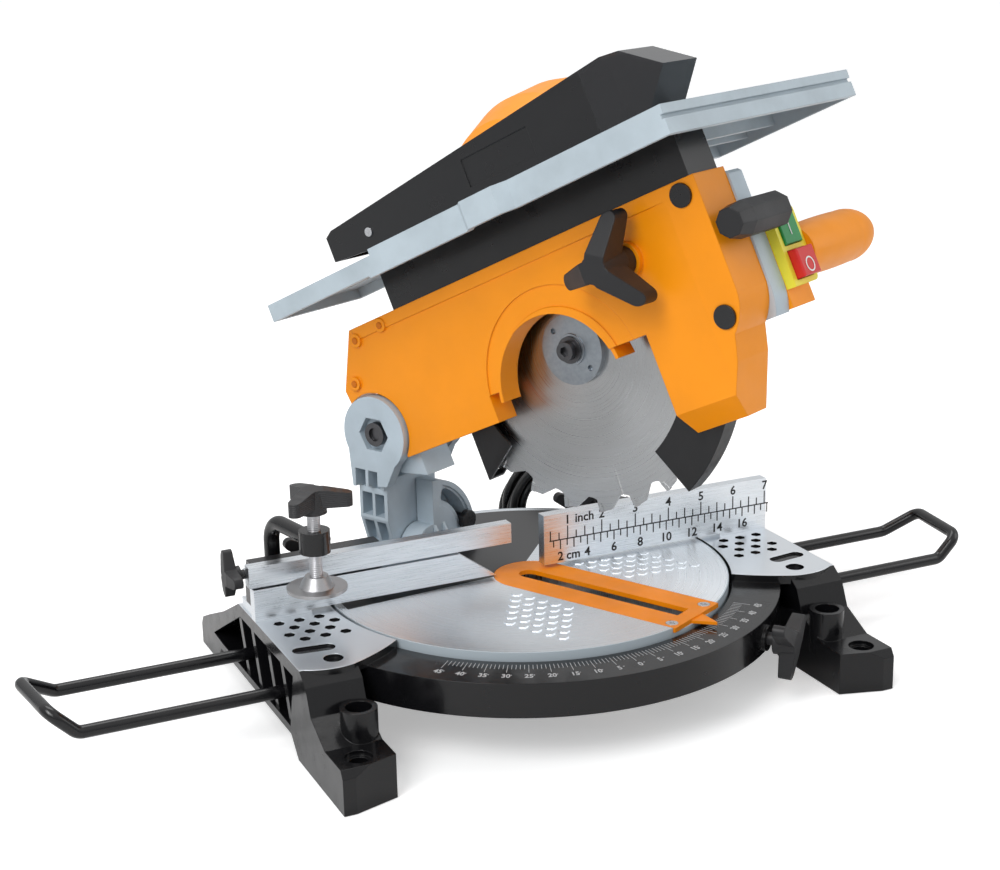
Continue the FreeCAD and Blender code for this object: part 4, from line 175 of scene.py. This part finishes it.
# Looks of the moulded plastics, the painted castings and the bare metals: the tone, the middle of the
# roughness, the scale and strength of the relief, the softened edge in metres, the coat and the gloss
MOULDED = {
    "orange_shell": {"tone": colour(246, 148, 0), "rough": 0.38, "grain": 900, "relief": 0.12, "edge": 0.001,
                     "gloss": 0.35},
    # Cover screws: the shell's orange made darker and duller, as painted shade of the recesses they sit in
    "orange_recess": {"tone": colour(205, 112, 20), "rough": 0.5, "grain": 900, "relief": 0.12, "edge": 0.001,
                      "gloss": 0.2},
    "black_shell": {"tone": colour(26, 26, 28), "rough": 0.3, "grain": 1200, "edge": 0.0008, "coat": 0.1,
                    "gloss": 0.4},
    "black_knob": {"tone": colour(32, 32, 34), "rough": 0.45, "grain": 1500, "relief": 0.3, "edge": 0.0012,
                   "gloss": 0.4},
    "yellow_shell": {"tone": colour(240, 226, 60), "rough": 0.35, "grain": 900},
    "green_button": {"tone": colour(20, 140, 70), "rough": 0.35, "grain": 900},
    "red_button": {"tone": colour(205, 32, 30), "rough": 0.35, "grain": 900},
    "belt": {"tone": colour(24, 24, 24), "rough": 0.7, "grain": 600, "relief": 0.3},
    "cord": {"tone": colour(14, 14, 15), "rough": 0.28, "grain": 1400, "relief": 0.12, "edge": 0,
             "coat": 0.1},
    "white_mark": {"tone": colour(232, 232, 230), "rough": 0.5, "grain": 1500, "relief": 0.05, "edge": 0},
    "scale_mark": {"tone": colour(178, 180, 182), "rough": 0.5, "grain": 1500, "relief": 0.05, "edge": 0},
    "dark_mark": {"tone": colour(24, 24, 26), "rough": 0.5, "grain": 1500, "relief": 0.05, "edge": 0},
}
PAINTED = {
    "black_casting": {"tone": BLACK_PAINT, "rough": 0.22, "lumps": 60, "relief": 0.3, "coat": 0.2,
                      "gloss": 0.35},
    "grey_casting": {"tone": colour(180, 194, 204), "rough": 0.4, "lumps": 120, "relief": 0.3, "coat": 0.15},
    "table_grey": {"tone": colour(178, 191, 199), "rough": 0.42, "lumps": 300, "relief": 0.2, "coat": 0.1},
    "orange_paint": {"tone": colour(246, 142, 2), "rough": 0.4, "lumps": 200, "relief": 0.1, "edge": 0.0004,
                     "coat": 0, "gloss": 0.3},
    "guard_paint": {"tone": colour(22, 22, 24), "rough": 0.4, "lumps": 200, "relief": 0.2, "coat": 0.1,
                    "gloss": 0.35},
}
GROUND = {
    "bare_ground": {"tone": SILVER, "rough": 0.3, "stretch": (0.02, 1, 1), "scale": 2600, "relief": 0.04},
    "washer_steel": {"tone": (0.4, 0.4, 0.41, 1), "rough": 0.35, "scale": 1500, "relief": 0.04},
    "dark_steel": {"tone": (0.1, 0.1, 0.105, 1), "rough": 0.35},
    "flange_steel": {"tone": (0.3, 0.33, 0.36, 1), "rough": 0.35},
    "zinc": {"tone": (0.62, 0.63, 0.65, 1), "rough": 0.3},
    "copper": {"tone": (0.7, 0.35, 0.2, 1), "rough": 0.4, "scale": 400, "relief": 0.3},
}

# Finish of each carried-over node
FINISHES = {
    "base_casting": "base_paint", "fence_right": "bare_ground", "fence_left": "bare_ground",
    "fence_rail": "black_shell", "sliding_fence": "bare_ground", "fence_screws": "zinc",
    "fence_end_knob": "black_knob", "fence_left_knob": "black_knob", "fence_right_knob": "black_knob",
    "mitre_lock_knob": "black_knob", "clamp_post": "black_casting", "clamp_spindle": "bare_spindle",
    "clamp_foot": "washer_steel", "right_support_wire": "black_casting", "left_support_wire": "black_casting",
    "pivot_bolt": "zinc", "cord_gland": "cord", "mains_plug": "cord", "cord_tie": "black_shell",
    "turntable": "turned_table", "kerf_plate": "orange_paint", "kerf_screws": "zinc",
    "bevel_bracket": "grey_casting", "bevel_pivot_bolt": "zinc", "bevel_arm": "grey_casting",
    "bevel_clamp_bolt": "black_shell", "bevel_lock_knob": "black_knob", "hinge_bolt": "dark_steel",
    "hinge_spring": "zinc", "head_casting": "grey_casting", "blade_cover": "orange_shell",
    # The cover screws take the darker orange that paints the shade in their recesses
    "cover_plugs": "black_shell", "cover_screws": "orange_recess", "motor_cover": "orange_shell",
    "motor_stator": "copper", "motor_rotor": "copper", "motor_pulley": "zinc", "blade_pulley": "zinc",
    "drive_belt": "belt", "arbor": "zinc", "blade": "blade_steel", "outer_flange": "flange_steel",
    "blade_bolt": "dark_steel", "bearings": "zinc", "lower_guard": "guard_paint", "rear_guard": "guard_paint",
    "riving_knife": "zinc", "upper_table": "table_grey", "table_skirt": "black_shell",
    "table_lock_knob": "black_knob", "table_guard_hood": "black_shell", "hood_window": "smoke",
    "switch_box": "yellow_shell", "off_button": "red_button", "on_button": "green_button",
    "handle": "orange_shell", "head_lock_handle": "black_knob",
}


def base_point(x, y, z):
    """A place on the base, given from the turntable axis, in metres."""
    return Vector((x, y + AXIS_Y, z)) * MM


def saw_point(x, y, z):
    """A place on the turned saw, given along and across the blade, in metres."""
    across = Vector((x * math.cos(MITRE) - y * math.sin(MITRE), x * math.sin(MITRE) + y * math.cos(MITRE), z))
    return (across + Vector((0, AXIS_Y, 0))) * MM


def head_point(x, y, z):
    """A place on the raised head, given from its hinge, in metres."""
    run = HINGE[0] + y * math.cos(HEAD_DROP) + z * math.sin(HEAD_DROP)
    rise = HINGE[1] - y * math.sin(HEAD_DROP) + z * math.cos(HEAD_DROP)
    return saw_point(x, run, rise)


# Camera, lights and floor
def make_camera():
    """Camera at the photograph's place, angle and lens."""
    back = Vector((
        math.sin(CAMERA_AZIMUTH) * math.cos(CAMERA_HEIGHT),
        -math.cos(CAMERA_AZIMUTH) * math.cos(CAMERA_HEIGHT),
        math.sin(CAMERA_HEIGHT),
    ))
    level = Vector((math.cos(CAMERA_AZIMUTH), math.sin(CAMERA_AZIMUTH), 0))
    upright = back.cross(level)
    right = level * math.cos(CAMERA_ROLL) + upright * math.sin(CAMERA_ROLL)
    up = upright * math.cos(CAMERA_ROLL) - level * math.sin(CAMERA_ROLL)
    data = bpy.data.cameras.new("camera")
    data.lens = CAMERA_LENS
    data.sensor_width = CAMERA_SENSOR
    data.clip_end = CAMERA_REACH
    camera = bpy.data.objects.new("camera", data)
    bpy.context.scene.collection.objects.link(camera)
    turned = Matrix((right, up, back)).transposed().to_4x4()
    camera.matrix_world = Matrix.Translation(Vector(CAMERA_PLACE)) @ turned
    bpy.context.scene.camera = camera


def make_lamp(name, kind, toward):
    """Lamp of a kind that shines from a direction."""
    data = bpy.data.lights.new(name, kind)
    lamp = bpy.data.objects.new(name, data)
    bpy.context.scene.collection.objects.link(lamp)
    lamp.rotation_mode = "QUATERNION"
    lamp.rotation_quaternion = Vector(toward).to_track_quat("Z", "Y")
    return lamp


def make_sun(name, toward, strength, spread):
    """Soft distant lamp."""
    lamp = make_lamp(name, "SUN", toward)
    lamp.data.energy = strength
    lamp.data.angle = math.radians(spread)


def make_panel(name, place, width, height, power):
    """Soft box that faces the saw."""
    lamp = make_lamp(name, "AREA", Vector(place) - Vector(PANEL_TARGET))
    lamp.location = place
    lamp.data.shape = "RECTANGLE"
    lamp.data.size = width
    lamp.data.size_y = height
    lamp.data.energy = power


def make_world():
    """White surroundings for the camera and for reflections, plain light for the rest."""
    world = bpy.data.worlds.new("studio")
    world.use_nodes = True
    tree = world.node_tree
    tree.nodes.clear()
    path = tree.nodes.new("ShaderNodeLightPath")
    seen = tree.nodes.new("ShaderNodeBackground")
    seen.inputs["Color"].default_value = SEEN_WHITE
    mirrored = tree.nodes.new("ShaderNodeBackground")
    place = tree.nodes.new("ShaderNodeTexCoord")
    split = tree.nodes.new("ShaderNodeSeparateXYZ")
    ramp = tree.nodes.new("ShaderNodeValToRGB")
    ramp.color_ramp.elements[0].position = 0.0
    ramp.color_ramp.elements[0].color = MIRRORED_LOW
    ramp.color_ramp.elements[1].position = MIRRORED_TOP
    ramp.color_ramp.elements[1].color = MIRRORED_HIGH
    tree.links.new(place.outputs["Generated"], split.inputs[0])
    tree.links.new(split.outputs["Z"], ramp.inputs[0])
    tree.links.new(ramp.outputs[0], mirrored.inputs["Color"])
    plain = tree.nodes.new("ShaderNodeBackground")
    plain.inputs["Color"].default_value = PLAIN_TONE
    plain.inputs["Strength"].default_value = PLAIN_STRENGTH
    lit = tree.nodes.new("ShaderNodeMixShader")
    whole = tree.nodes.new("ShaderNodeMixShader")
    out = tree.nodes.new("ShaderNodeOutputWorld")
    shiny = tree.nodes.new("ShaderNodeMath")
    shiny.operation = "MAXIMUM"
    tree.links.new(path.outputs["Is Glossy Ray"], shiny.inputs[0])
    tree.links.new(path.outputs["Is Transmission Ray"], shiny.inputs[1])
    tree.links.new(shiny.outputs[0], lit.inputs[0])
    tree.links.new(plain.outputs[0], lit.inputs[1])
    tree.links.new(mirrored.outputs[0], lit.inputs[2])
    tree.links.new(path.outputs["Is Camera Ray"], whole.inputs[0])
    tree.links.new(lit.outputs[0], whole.inputs[1])
    tree.links.new(seen.outputs[0], whole.inputs[2])
    tree.links.new(whole.outputs[0], out.inputs[0])
    bpy.context.scene.world = world


def make_floor():
    """Wide pale floor that keeps the saw's shadow."""
    mesh = bpy.data.meshes.new("floor")
    corners = [(x * FLOOR_REACH, y * FLOOR_REACH, 0) for x, y in ((-1, -1), (1, -1), (1, 1), (-1, 1))]
    mesh.from_pydata(corners, [], [(0, 1, 2, 3)])
    floor = bpy.data.objects.new("floor", mesh)
    bpy.context.scene.collection.objects.link(floor)
    floor.location.z = -FLOOR_DROP
    material = bpy.data.materials.new("floor")
    material.use_nodes = True
    tree = material.node_tree
    shader = tree.nodes["Principled BSDF"]
    shader.inputs["Base Color"].default_value = FLOOR_TONE
    shader.inputs["Roughness"].default_value = FLOOR_ROUGHNESS
    shader.inputs["Specular IOR Level"].default_value = FLOOR_GLOSS
    glow = tree.nodes.new("ShaderNodeEmission")
    path = tree.nodes.new("ShaderNodeLightPath")
    scaled = tree.nodes.new("ShaderNodeMath")
    scaled.operation = "MULTIPLY"
    scaled.inputs[1].default_value = FLOOR_GLOW
    tree.links.new(path.outputs["Is Camera Ray"], scaled.inputs[0])
    tree.links.new(scaled.outputs[0], glow.inputs["Strength"])
    both = tree.nodes.new("ShaderNodeAddShader")
    tree.links.new(shader.outputs[0], both.inputs[0])
    tree.links.new(glow.outputs[0], both.inputs[1])
    tree.links.new(both.outputs[0], tree.nodes["Material Output"].inputs[0])
    mesh.materials.append(material)


# Materials
class Shading:
    """A material's node tree with the few node groups that the saw's finishes share."""

    def __init__(self, name):
        self.material = bpy.data.materials.new(name)
        self.material.use_nodes = True
        self.tree = self.material.node_tree
        self.shader = self.tree.nodes["Principled BSDF"]
        self.place = self.tree.nodes.new("ShaderNodeTexCoord").outputs["Object"]

    def node(self, kind, **inputs):
        """New node with values on its sockets."""
        made = self.tree.nodes.new(kind)
        for name, value in inputs.items():
            made.inputs[name.replace("_", " ")].default_value = value
        return made

    def link(self, source, target):
        """Join two sockets."""
        self.tree.links.new(source, target)

    def feed(self, made, values):
        """Join sockets or put fixed values on a node's inputs, in their order."""
        for index, value in enumerate(values):
            if isinstance(value, bpy.types.NodeSocket):
                self.link(value, made.inputs[index])
            else:
                made.inputs[index].default_value = value

    def sum(self, operation, *values):
        """Result of a sum on sockets or numbers."""
        made = self.node("ShaderNodeMath")
        made.operation = operation
        self.feed(made, values)
        return made.outputs[0]

    def vector(self, operation, *values):
        """Vector sum on sockets or fixed vectors."""
        made = self.node("ShaderNodeVectorMath")
        made.operation = operation
        self.feed(made, values)
        return made

    def from_centre(self, centre):
        """Way from a centre to the place on the surface, in metres."""
        return self.vector("SUBTRACT", self.place, centre).outputs[0]

    def along(self, direction, centre=(0, 0, 0)):
        """Distance from a centre along a direction."""
        return self.vector("DOT_PRODUCT", self.from_centre(centre), direction).outputs["Value"]

    def noise(self, scale, detail, stretch=(1, 1, 1), rough=0.55):
        """Noise in the saw's own space, stretched along an axis."""
        mapping = self.node("ShaderNodeMapping", Scale=stretch)
        texture = self.node("ShaderNodeTexNoise", Scale=scale, Detail=detail, Roughness=rough)
        self.link(self.place, mapping.inputs["Vector"])
        self.link(mapping.outputs[0], texture.inputs["Vector"])
        return texture.outputs["Fac"]

    def tint(self, source, tone, darkest, lightest):
        """Base colour between two shades of a tone."""
        ramp = self.node("ShaderNodeValToRGB")
        ends = ramp.color_ramp.elements
        ends[0].position, ends[1].position = NOISE_SPAN
        ends[0].color, ends[1].color = shade(tone, darkest), shade(tone, lightest)
        self.link(source, ramp.inputs[0])
        self.link(ramp.outputs[0], self.shader.inputs["Base Color"])

    def roughen(self, source, low, high):
        """Roughness from one value to another over the middle of a noise."""
        made = self.node("ShaderNodeMapRange", From_Min=NOISE_SPAN[0], From_Max=NOISE_SPAN[1], To_Min=low,
                         To_Max=high)
        self.link(source, made.inputs["Value"])
        self.link(made.outputs[0], self.shader.inputs["Roughness"])

    def relief(self, source, strength, depth, edge=0):
        """Fine relief, over softened edges where an edge radius is given."""
        bump = self.node("ShaderNodeBump", Strength=strength, Distance=depth)
        self.link(source, bump.inputs["Height"])
        if edge:
            soft = self.node("ShaderNodeBevel", Radius=edge)
            soft.samples = EDGE_SAMPLES
            self.link(soft.outputs[0], bump.inputs["Normal"])
        self.link(bump.outputs[0], self.shader.inputs["Normal"])

    def set(self, **inputs):
        """Values on the shader's own sockets."""
        for name, value in inputs.items():
            self.shader.inputs[name.replace("_", " ")].default_value = value

    def patch(self, mask, **looks):
        """Other looks where a mask is one."""
        for name, value in looks.items():
            socket = self.shader.inputs[name.replace("_", " ")]
            mix = self.node("ShaderNodeMix")
            mix.data_type = "RGBA" if socket.type == "RGBA" else "FLOAT"
            before, after = [entry for entry in mix.inputs if entry.enabled and entry.name in ("A", "B")]
            if socket.is_linked:
                self.link(socket.links[0].from_socket, before)
            else:
                before.default_value = socket.default_value
            after.default_value = value
            self.link(mask, mix.inputs["Factor"])
            self.link(next(result for result in mix.outputs if result.enabled), socket)


def shade(tone, share):
    """A colour made darker or lighter."""
    return (*(min(part * share, 1) for part in tone[:3]), 1.0)


def moulded(name, tone, rough, grain, relief=0.15, edge=0.0005, coat=0, gloss=0.5):
    """Moulded plastic with a fine grain and slightly uneven gloss."""
    made = Shading(name)
    made.tint(made.noise(scale=18, detail=4), tone, darkest=0.94, lightest=1.04)
    made.roughen(made.noise(scale=55, detail=4), rough - 0.05, rough + 0.07)
    made.relief(made.noise(grain, detail=2), relief, depth=0.0001, edge=edge)
    made.set(Coat_Weight=coat, Coat_Roughness=0.12, Specular_IOR_Level=gloss)
    return made


def painted(name, tone, rough, lumps, relief, edge=0.0008, coat=0.3, gloss=0.5):
    """Paint over a casting: low lumps of the sand mould under a glossy film."""
    made = Shading(name)
    made.tint(made.noise(scale=30, detail=5), tone, darkest=0.88, lightest=1.08)
    made.roughen(made.noise(scale=90, detail=4), rough - 0.06, rough + 0.08)
    made.relief(made.noise(lumps, detail=4), relief, depth=0.0004, edge=edge)
    made.set(Coat_Weight=coat, Coat_Roughness=0.08, Specular_IOR_Level=gloss)
    return made


def ground_metal(name, tone, rough, stretch=(1, 1, 1), scale=300, relief=0.1):
    """Bare metal with fine parallel grinding lines."""
    made = Shading(name)
    lines = made.noise(scale, detail=3, stretch=stretch)
    made.tint(lines, tone, darkest=0.86, lightest=1.08)
    made.roughen(lines, rough - 0.06, rough + 0.08)
    made.relief(lines, relief, depth=0.00005, edge=0.0003)
    made.set(Metallic=1)
    return made


def turned_metal(name, tone, rough, centre, across, along):
    """Bare metal turned on a lathe: rings round an axis, with the sweep of light that they give. The radius
    comes back too."""
    made = Shading(name)
    flat = made.node("ShaderNodeCombineXYZ")
    made.feed(flat, (made.along(across, centre), made.along(along, centre)))
    radius = made.vector("LENGTH", flat.outputs[0]).outputs["Value"]
    rings = made.node("ShaderNodeTexNoise", Scale=1600, Detail=3, Roughness=0.6)
    rings.noise_dimensions = "1D"
    made.link(radius, rings.inputs["W"])
    made.tint(rings.outputs["Fac"], tone, darkest=0.95, lightest=1.03)
    made.roughen(rings.outputs["Fac"], rough - 0.05, rough + 0.07)
    axis = Vector(across).cross(Vector(along))
    tangent = made.node("ShaderNodeVectorTransform")
    tangent.vector_type = "VECTOR"
    tangent.convert_from = "OBJECT"
    tangent.convert_to = "WORLD"
    made.link(made.vector("CROSS_PRODUCT", axis, made.from_centre(centre)).outputs[0], tangent.inputs[0])
    made.link(tangent.outputs[0], made.shader.inputs["Tangent"])
    made.relief(rings.outputs["Fac"], strength=0.03, depth=0.00004, edge=0.0003)
    made.set(Metallic=1, Anisotropic=0.75)
    return made, radius


def base_paint():
    """Black painted casting whose shoulders are machined bare on top."""
    made = painted("base_casting", BLACK_PAINT, rough=0.2, lumps=60, relief=0.3, coat=0.2, gloss=0.3)
    level = made.along((0, 0, 1 / MM))
    bare = made.sum("COMPARE", level, SHOULDER_LEVEL, SHOULDER_SKIN)
    made.patch(bare, Base_Color=SILVER, Metallic=1, Roughness=0.3)
    return made


def bare_spindle():
    """Black knob on a bare threaded spindle."""
    made = Shading("clamp_spindle")
    made.tint(made.noise(scale=18, detail=4), SPINDLE_BLACK, darkest=0.94, lightest=1.04)
    made.set(Roughness=0.45)
    thread = made.node("ShaderNodeTexWave", Scale=THREAD_SCALE)
    thread.bands_direction = "Z"
    made.link(made.place, thread.inputs["Vector"])
    made.relief(thread.outputs["Fac"], strength=0.5, depth=0.0004)
    bare = made.sum("LESS_THAN", made.along((0, 0, 1 / MM)), SPINDLE_LEVEL)
    made.patch(bare, Base_Color=SCREW_STEEL, Metallic=1, Roughness=0.32)
    return made


def turned_table():
    """Turned top; the part behind the fences is painted black inside its rim."""
    centre = base_point(0, 0, TABLE_TOP)
    made, radius = turned_metal("turntable", SILVER, 0.3, centre, (1, 0, 0), (0, 1, 0))
    across = made.along((math.cos(MITRE), math.sin(MITRE), 0), centre)
    back = made.along((-math.sin(MITRE), math.cos(MITRE), 0), centre)
    wedge = made.sum("MULTIPLY_ADD", made.sum("ABSOLUTE", across), -TABLE_PAINT_SLOPE, back)
    behind = made.sum("GREATER_THAN", wedge, TABLE_PAINT_START * MM)
    inside = made.sum("LESS_THAN", radius, TABLE_PAINT_RADIUS * MM)
    rim = made.sum("GREATER_THAN", radius, TABLE_RIM_RADIUS * MM)
    made.patch(made.sum("MULTIPLY", behind, inside), Base_Color=TABLE_BLACK, Metallic=0, Roughness=0.3)
    made.patch(rim, Base_Color=RIM_GREY, Metallic=0.2, Roughness=0.45)
    return made


def turned_blade():
    """Blade ground round its arbor."""
    origin = head_point(0, 0, 0)
    across = (head_point(0, 1, 0) - origin).normalized()
    along = (head_point(0, 0, 1) - origin).normalized()
    return turned_metal("blade_steel", BLADE_STEEL, 0.3, head_point(0, *BLADE_CENTRE), across, along)[0]


def smoked_plastic():
    """Smoked clear plastic."""
    made = Shading("smoke")
    made.roughen(made.noise(scale=40, detail=2), 0.05, 0.12)
    made.set(Base_Color=SMOKE, Transmission_Weight=0.6, IOR=1.45)
    return made


def make_materials():
    """Finishes by name."""
    made = {
        "base_paint": base_paint(),
        "bare_spindle": bare_spindle(),
        "turned_table": turned_table(),
        "blade_steel": turned_blade(),
        "smoke": smoked_plastic(),
    }
    for recipe, looks in ((moulded, MOULDED), (painted, PAINTED), (ground_metal, GROUND)):
        made.update({name: recipe(name, **look) for name, look in looks.items()})
    return {name: shading.material for name, shading in made.items()}


def dress_cad(materials):
    """Give each carried-over CAD piece its finish."""
    for name, finish in FINISHES.items():
        mesh = nodes[name].data
        mesh.materials.clear()
        mesh.materials.append(materials[finish])


# Cord
def lead_route():
    """The lead from the gland to the coil, on the solid's route."""
    x, y, z = GLAND_TIP
    return [
        (x, y, z),
        (x, y + 18, z),
        (x + 7.7, y + 35.4, z - 6.2),
        (x + 21.3, y + 46.1, z - 16.2),
        (x + 39.7, y + 50.0, z - 23.0),
        (-19.9, 217.5, CORD_REST),
        (0.4, 206.7, CORD_REST),
        (16.4, 190.2, CORD_REST),
        (32.9, 174.2, CORD_REST),
        (54.8, 163.4, CORD_REST),
        (74.0, COIL_START_Y, CORD_REST),
        (COIL_CENTRE_X - COIL_END, COIL_START_Y, CORD_REST),
    ]


def coil_radius(step):
    """Radius of a half turn: the coil spirals in, then out again, at one rate."""
    per_layer = 2 * COIL_TURNS
    return COIL_INNER + abs(per_layer - step % (2 * per_layer)) * COIL_PITCH / 2


def coil_route():
    """The coil's turns, half a turn at a time."""
    per_layer = 2 * COIL_TURNS
    level = CORD_REST
    depth = COIL_START_Y
    spots = []
    for step in range(per_layer * COIL_LAYERS):
        radius = coil_radius(step)
        way = 1 if step % 2 == 0 else -1
        climb = COIL_PITCH if step > 0 and step % per_layer == 0 else 0.0
        wide = radius / math.cos(math.pi / COIL_STEPS / 2)
        for part in range(COIL_STEPS):
            turn = math.pi * (part + 0.5) / COIL_STEPS
            spots.append((
                COIL_CENTRE_X + way * wide * math.sin(turn),
                depth + climb * (part + 0.5) / COIL_STEPS,
                level + way * (radius - wide * math.cos(turn)),
            ))
        level += way * 2 * radius
        depth += climb
    return spots, (COIL_CENTRE_X, depth, level)


def tail_route(start):
    """The tail from the coil to the plug, on the solid's route."""
    x, y, z = start
    return [
        (x + COIL_END, y, z),
        (x + COIL_END + 14, y, z),
        (x + COIL_END + 29, y + 5, z + 2.4),
        (x + COIL_END + 43, y + 13, PLUG_REST),
        (x + COIL_END + 54, y + 20, PLUG_REST),
    ]


def make_cord(materials):
    """One smooth line from the gland through the coil to the plug."""
    coil, end = coil_route()
    route = lead_route() + coil + tail_route(end)
    data = bpy.data.curves.new("mains_cord", "CURVE")
    data.dimensions = "3D"
    data.bevel_depth = CORD_RADIUS * MM
    data.bevel_resolution = CORD_ROUNDNESS
    data.resolution_u = CORD_SMOOTHNESS
    data.use_fill_caps = True
    spline = data.splines.new("NURBS")
    spline.points.add(len(route) - 1)
    for point, spot in zip(spline.points, route):
        point.co = (*base_point(*spot), 1.0)
    spline.order_u = 3
    spline.use_endpoint_u = True
    cord = bpy.data.objects.new("mains_cord", data)
    bpy.context.scene.collection.objects.link(cord)
    data.materials.append(materials["cord"])
    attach(cord, "base")
    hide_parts("cord_lead", "cord_coil", "cord_tail")


# Marks and small trim
class Inlay:
    """Thin marks gathered into one piece; each is given in millimetres on a plane."""

    def __init__(self):
        self.mesh = bmesh.new()

    def bar(self, plane, left, right, low, high, height=MARK_HEIGHT):
        """Flat bar on the plane."""
        corners = [(x, y, z) for z in (0, height) for x, y in
                   ((left, low), (right, low), (right, high), (left, high))]
        spots = [self.mesh.verts.new(plane @ Vector(corner)) for corner in corners]
        for face in ((3, 2, 1, 0), (4, 5, 6, 7), (0, 1, 5, 4), (1, 2, 6, 5), (2, 3, 7, 6), (3, 0, 4, 7)):
            self.mesh.faces.new([spots[corner] for corner in face])

    def ring(self, plane, centre, outer, inner, height=MARK_HEIGHT, sides=32):
        """Flat ring on the plane."""
        rims = []
        for radius, level in ((outer, 0), (outer, height), (inner, height), (inner, 0)):
            rims.append([
                self.mesh.verts.new(plane @ Vector((
                    centre[0] + radius * math.cos(2 * math.pi * step / sides),
                    centre[1] + radius * math.sin(2 * math.pi * step / sides),
                    level,
                )))
                for step in range(sides)
            ])
        for here, there in zip(rims, rims[1:] + rims[:1]):
            for step in range(sides):
                after = (step + 1) % sides
                self.mesh.faces.new((here[step], here[after], there[after], there[step]))

    def text(self, plane, words, size, centre, height=MARK_HEIGHT, slim=1.0):
        """Plain figures on the plane."""
        data = bpy.data.curves.new("figures", "FONT")
        data.body = words
        data.size = size
        data.offset = FIGURE_WEIGHT
        data.extrude = height / 2
        data.align_x = "CENTER"
        data.resolution_u = FIGURE_ROUNDNESS
        holder = bpy.data.objects.new("figures", data)
        bpy.context.scene.collection.objects.link(holder)
        bpy.context.view_layer.update()
        flat = bpy.data.meshes.new_from_object(holder)
        place = Matrix.Translation((centre[0], centre[1], height / 2)) @ Matrix.Diagonal((slim, 1, 1, 1))
        flat.transform(plane @ place)
        self.mesh.from_mesh(flat)
        bpy.data.objects.remove(holder)
        bpy.data.meshes.remove(flat)

    def finish(self, name, material, body, slot):
        """The gathered marks as one piece."""
        bmesh.ops.recalc_face_normals(self.mesh, faces=self.mesh.faces)
        mesh = bpy.data.meshes.new(name)
        self.mesh.to_mesh(mesh)
        self.mesh.free()
        return add_piece(name, mesh, material, body)


def add_piece(name, mesh, material, body):
    """A mesh as a piece that rides on a body."""
    piece = bpy.data.objects.new(name, mesh)
    bpy.context.scene.collection.objects.link(piece)
    mesh.materials.append(material)
    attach(piece, body)
    return piece


def plane_at(origin, right, up):
    """Plane in millimetres with its origin, its right and its up direction."""
    right, up = Vector(right).normalized(), Vector(up).normalized()
    turned = Matrix((right * MM, up * MM, right.cross(up) * MM)).transposed().to_4x4()
    return Matrix.Translation(origin) @ turned


def mitre_scale(materials):
    """One-degree ticks round the front of the ring, longer every five degrees, with figures outside."""
    marks = Inlay()
    for degree in range(-SCALE_END, SCALE_END + 1):
        angle = math.radians(degree - 90)
        outward = Vector((math.cos(angle), math.sin(angle), 0))
        plane = plane_at(base_point(0, 0, SCALE_LEVEL), (-outward.y, outward.x, 0), -outward)
        long_tick = degree % SCALE_STEP == 0
        tip = SCALE_LONG if long_tick else SCALE_SHORT
        marks.bar(plane, -SCALE_WIDTH / 2, SCALE_WIDTH / 2, -tip, -SCALE_INNER)
        if long_tick:
            marks.text(plane, str(abs(degree)), SCALE_FIGURE, (0, -SCALE_FIGURE_BASE), slim=SCALE_FIGURE_SLIM)
            spot = (DEGREE_PLACE[0], DEGREE_PLACE[1] - SCALE_FIGURE_BASE)
            marks.ring(plane, spot, *DEGREE_RING, sides=DEGREE_SIDES)
    marks.finish("mitre_scale_marks", materials["scale_mark"], "base", "black_casting")


def fence_ruler(materials):
    """Ruler engraved in the right fence: inches above its line and centimetres below."""
    marks = Inlay()
    plane = plane_at(base_point(0, 0, 0), (1, 0, 0), (0, 0, 1))
    thin = RULER_STROKE / 2
    first, last = RULER_ZERO + RULER_FIRST, RULER_ZERO + RULER_LAST
    marks.bar(plane, first, last, RULER_LINE - thin, RULER_LINE + thin)
    figure_top = RULER_LINE + INCH_TICKS[0] + RULER_RISE
    figure_foot = RULER_LINE - CM_TICKS[0] - RULER_DROP
    for quarter in QUARTERS:
        x = RULER_ZERO + quarter * QUARTER_INCH
        rank = 0 if quarter % 4 == 0 else 1 if quarter % 2 == 0 else 2
        marks.bar(plane, x - thin, x + thin, RULER_LINE, RULER_LINE + INCH_TICKS[rank])
        if rank == 0:
            marks.text(plane, str(quarter // 4), RULER_FIGURE, (x, figure_top))
    for half in HALVES:
        x = RULER_ZERO + half * HALF_CM
        marks.bar(plane, x - thin, x + thin, RULER_LINE - CM_TICKS[half % 2], RULER_LINE)
        if half % 4 == 0 and half // 2 <= LAST_CM_FIGURE:
            marks.text(plane, str(half // 2), RULER_FIGURE, (x, figure_foot))
    marks.text(plane, "inch", RULER_FIGURE, (RULER_ZERO + INCH_WORD, figure_top))
    marks.text(plane, "cm", RULER_FIGURE, (RULER_ZERO + CM_WORD, figure_foot))
    marks.finish("fence_ruler_marks", materials["dark_mark"], "base", "bare_aluminium")


def switch_marks(materials):
    """Ring on the off button and bar on the on button."""
    right = head_point(1, 0, 0) - head_point(0, 0, 0)
    up = head_point(0, 0, 1) - head_point(0, 0, 0)
    off = Inlay()
    off_plane = plane_at(head_point(*OFF_FACE), right, up)
    off.ring(off_plane, (0, 0), *OFF_RING)
    off.finish("off_mark", materials["white_mark"], "off_button", "red_plastic")
    on = Inlay()
    on_plane = plane_at(head_point(*ON_FACE), right, up)
    on.bar(on_plane, -ON_BAR[0], ON_BAR[0], -ON_BAR[1], ON_BAR[1])
    on.finish("on_mark", materials["white_mark"], "on_button", "green_plastic")


make_camera()
make_world()
for name, sun in SUNS.items():
    make_sun(name, **sun)
for name, panel in PANELS.items():
    make_panel(name, **panel)
make_floor()

materials = make_materials()
dress_cad(materials)
make_cord(materials)
mitre_scale(materials)
fence_ruler(materials)
switch_marks(materials)

bpy.context.scene.view_settings.view_transform = "Standard"
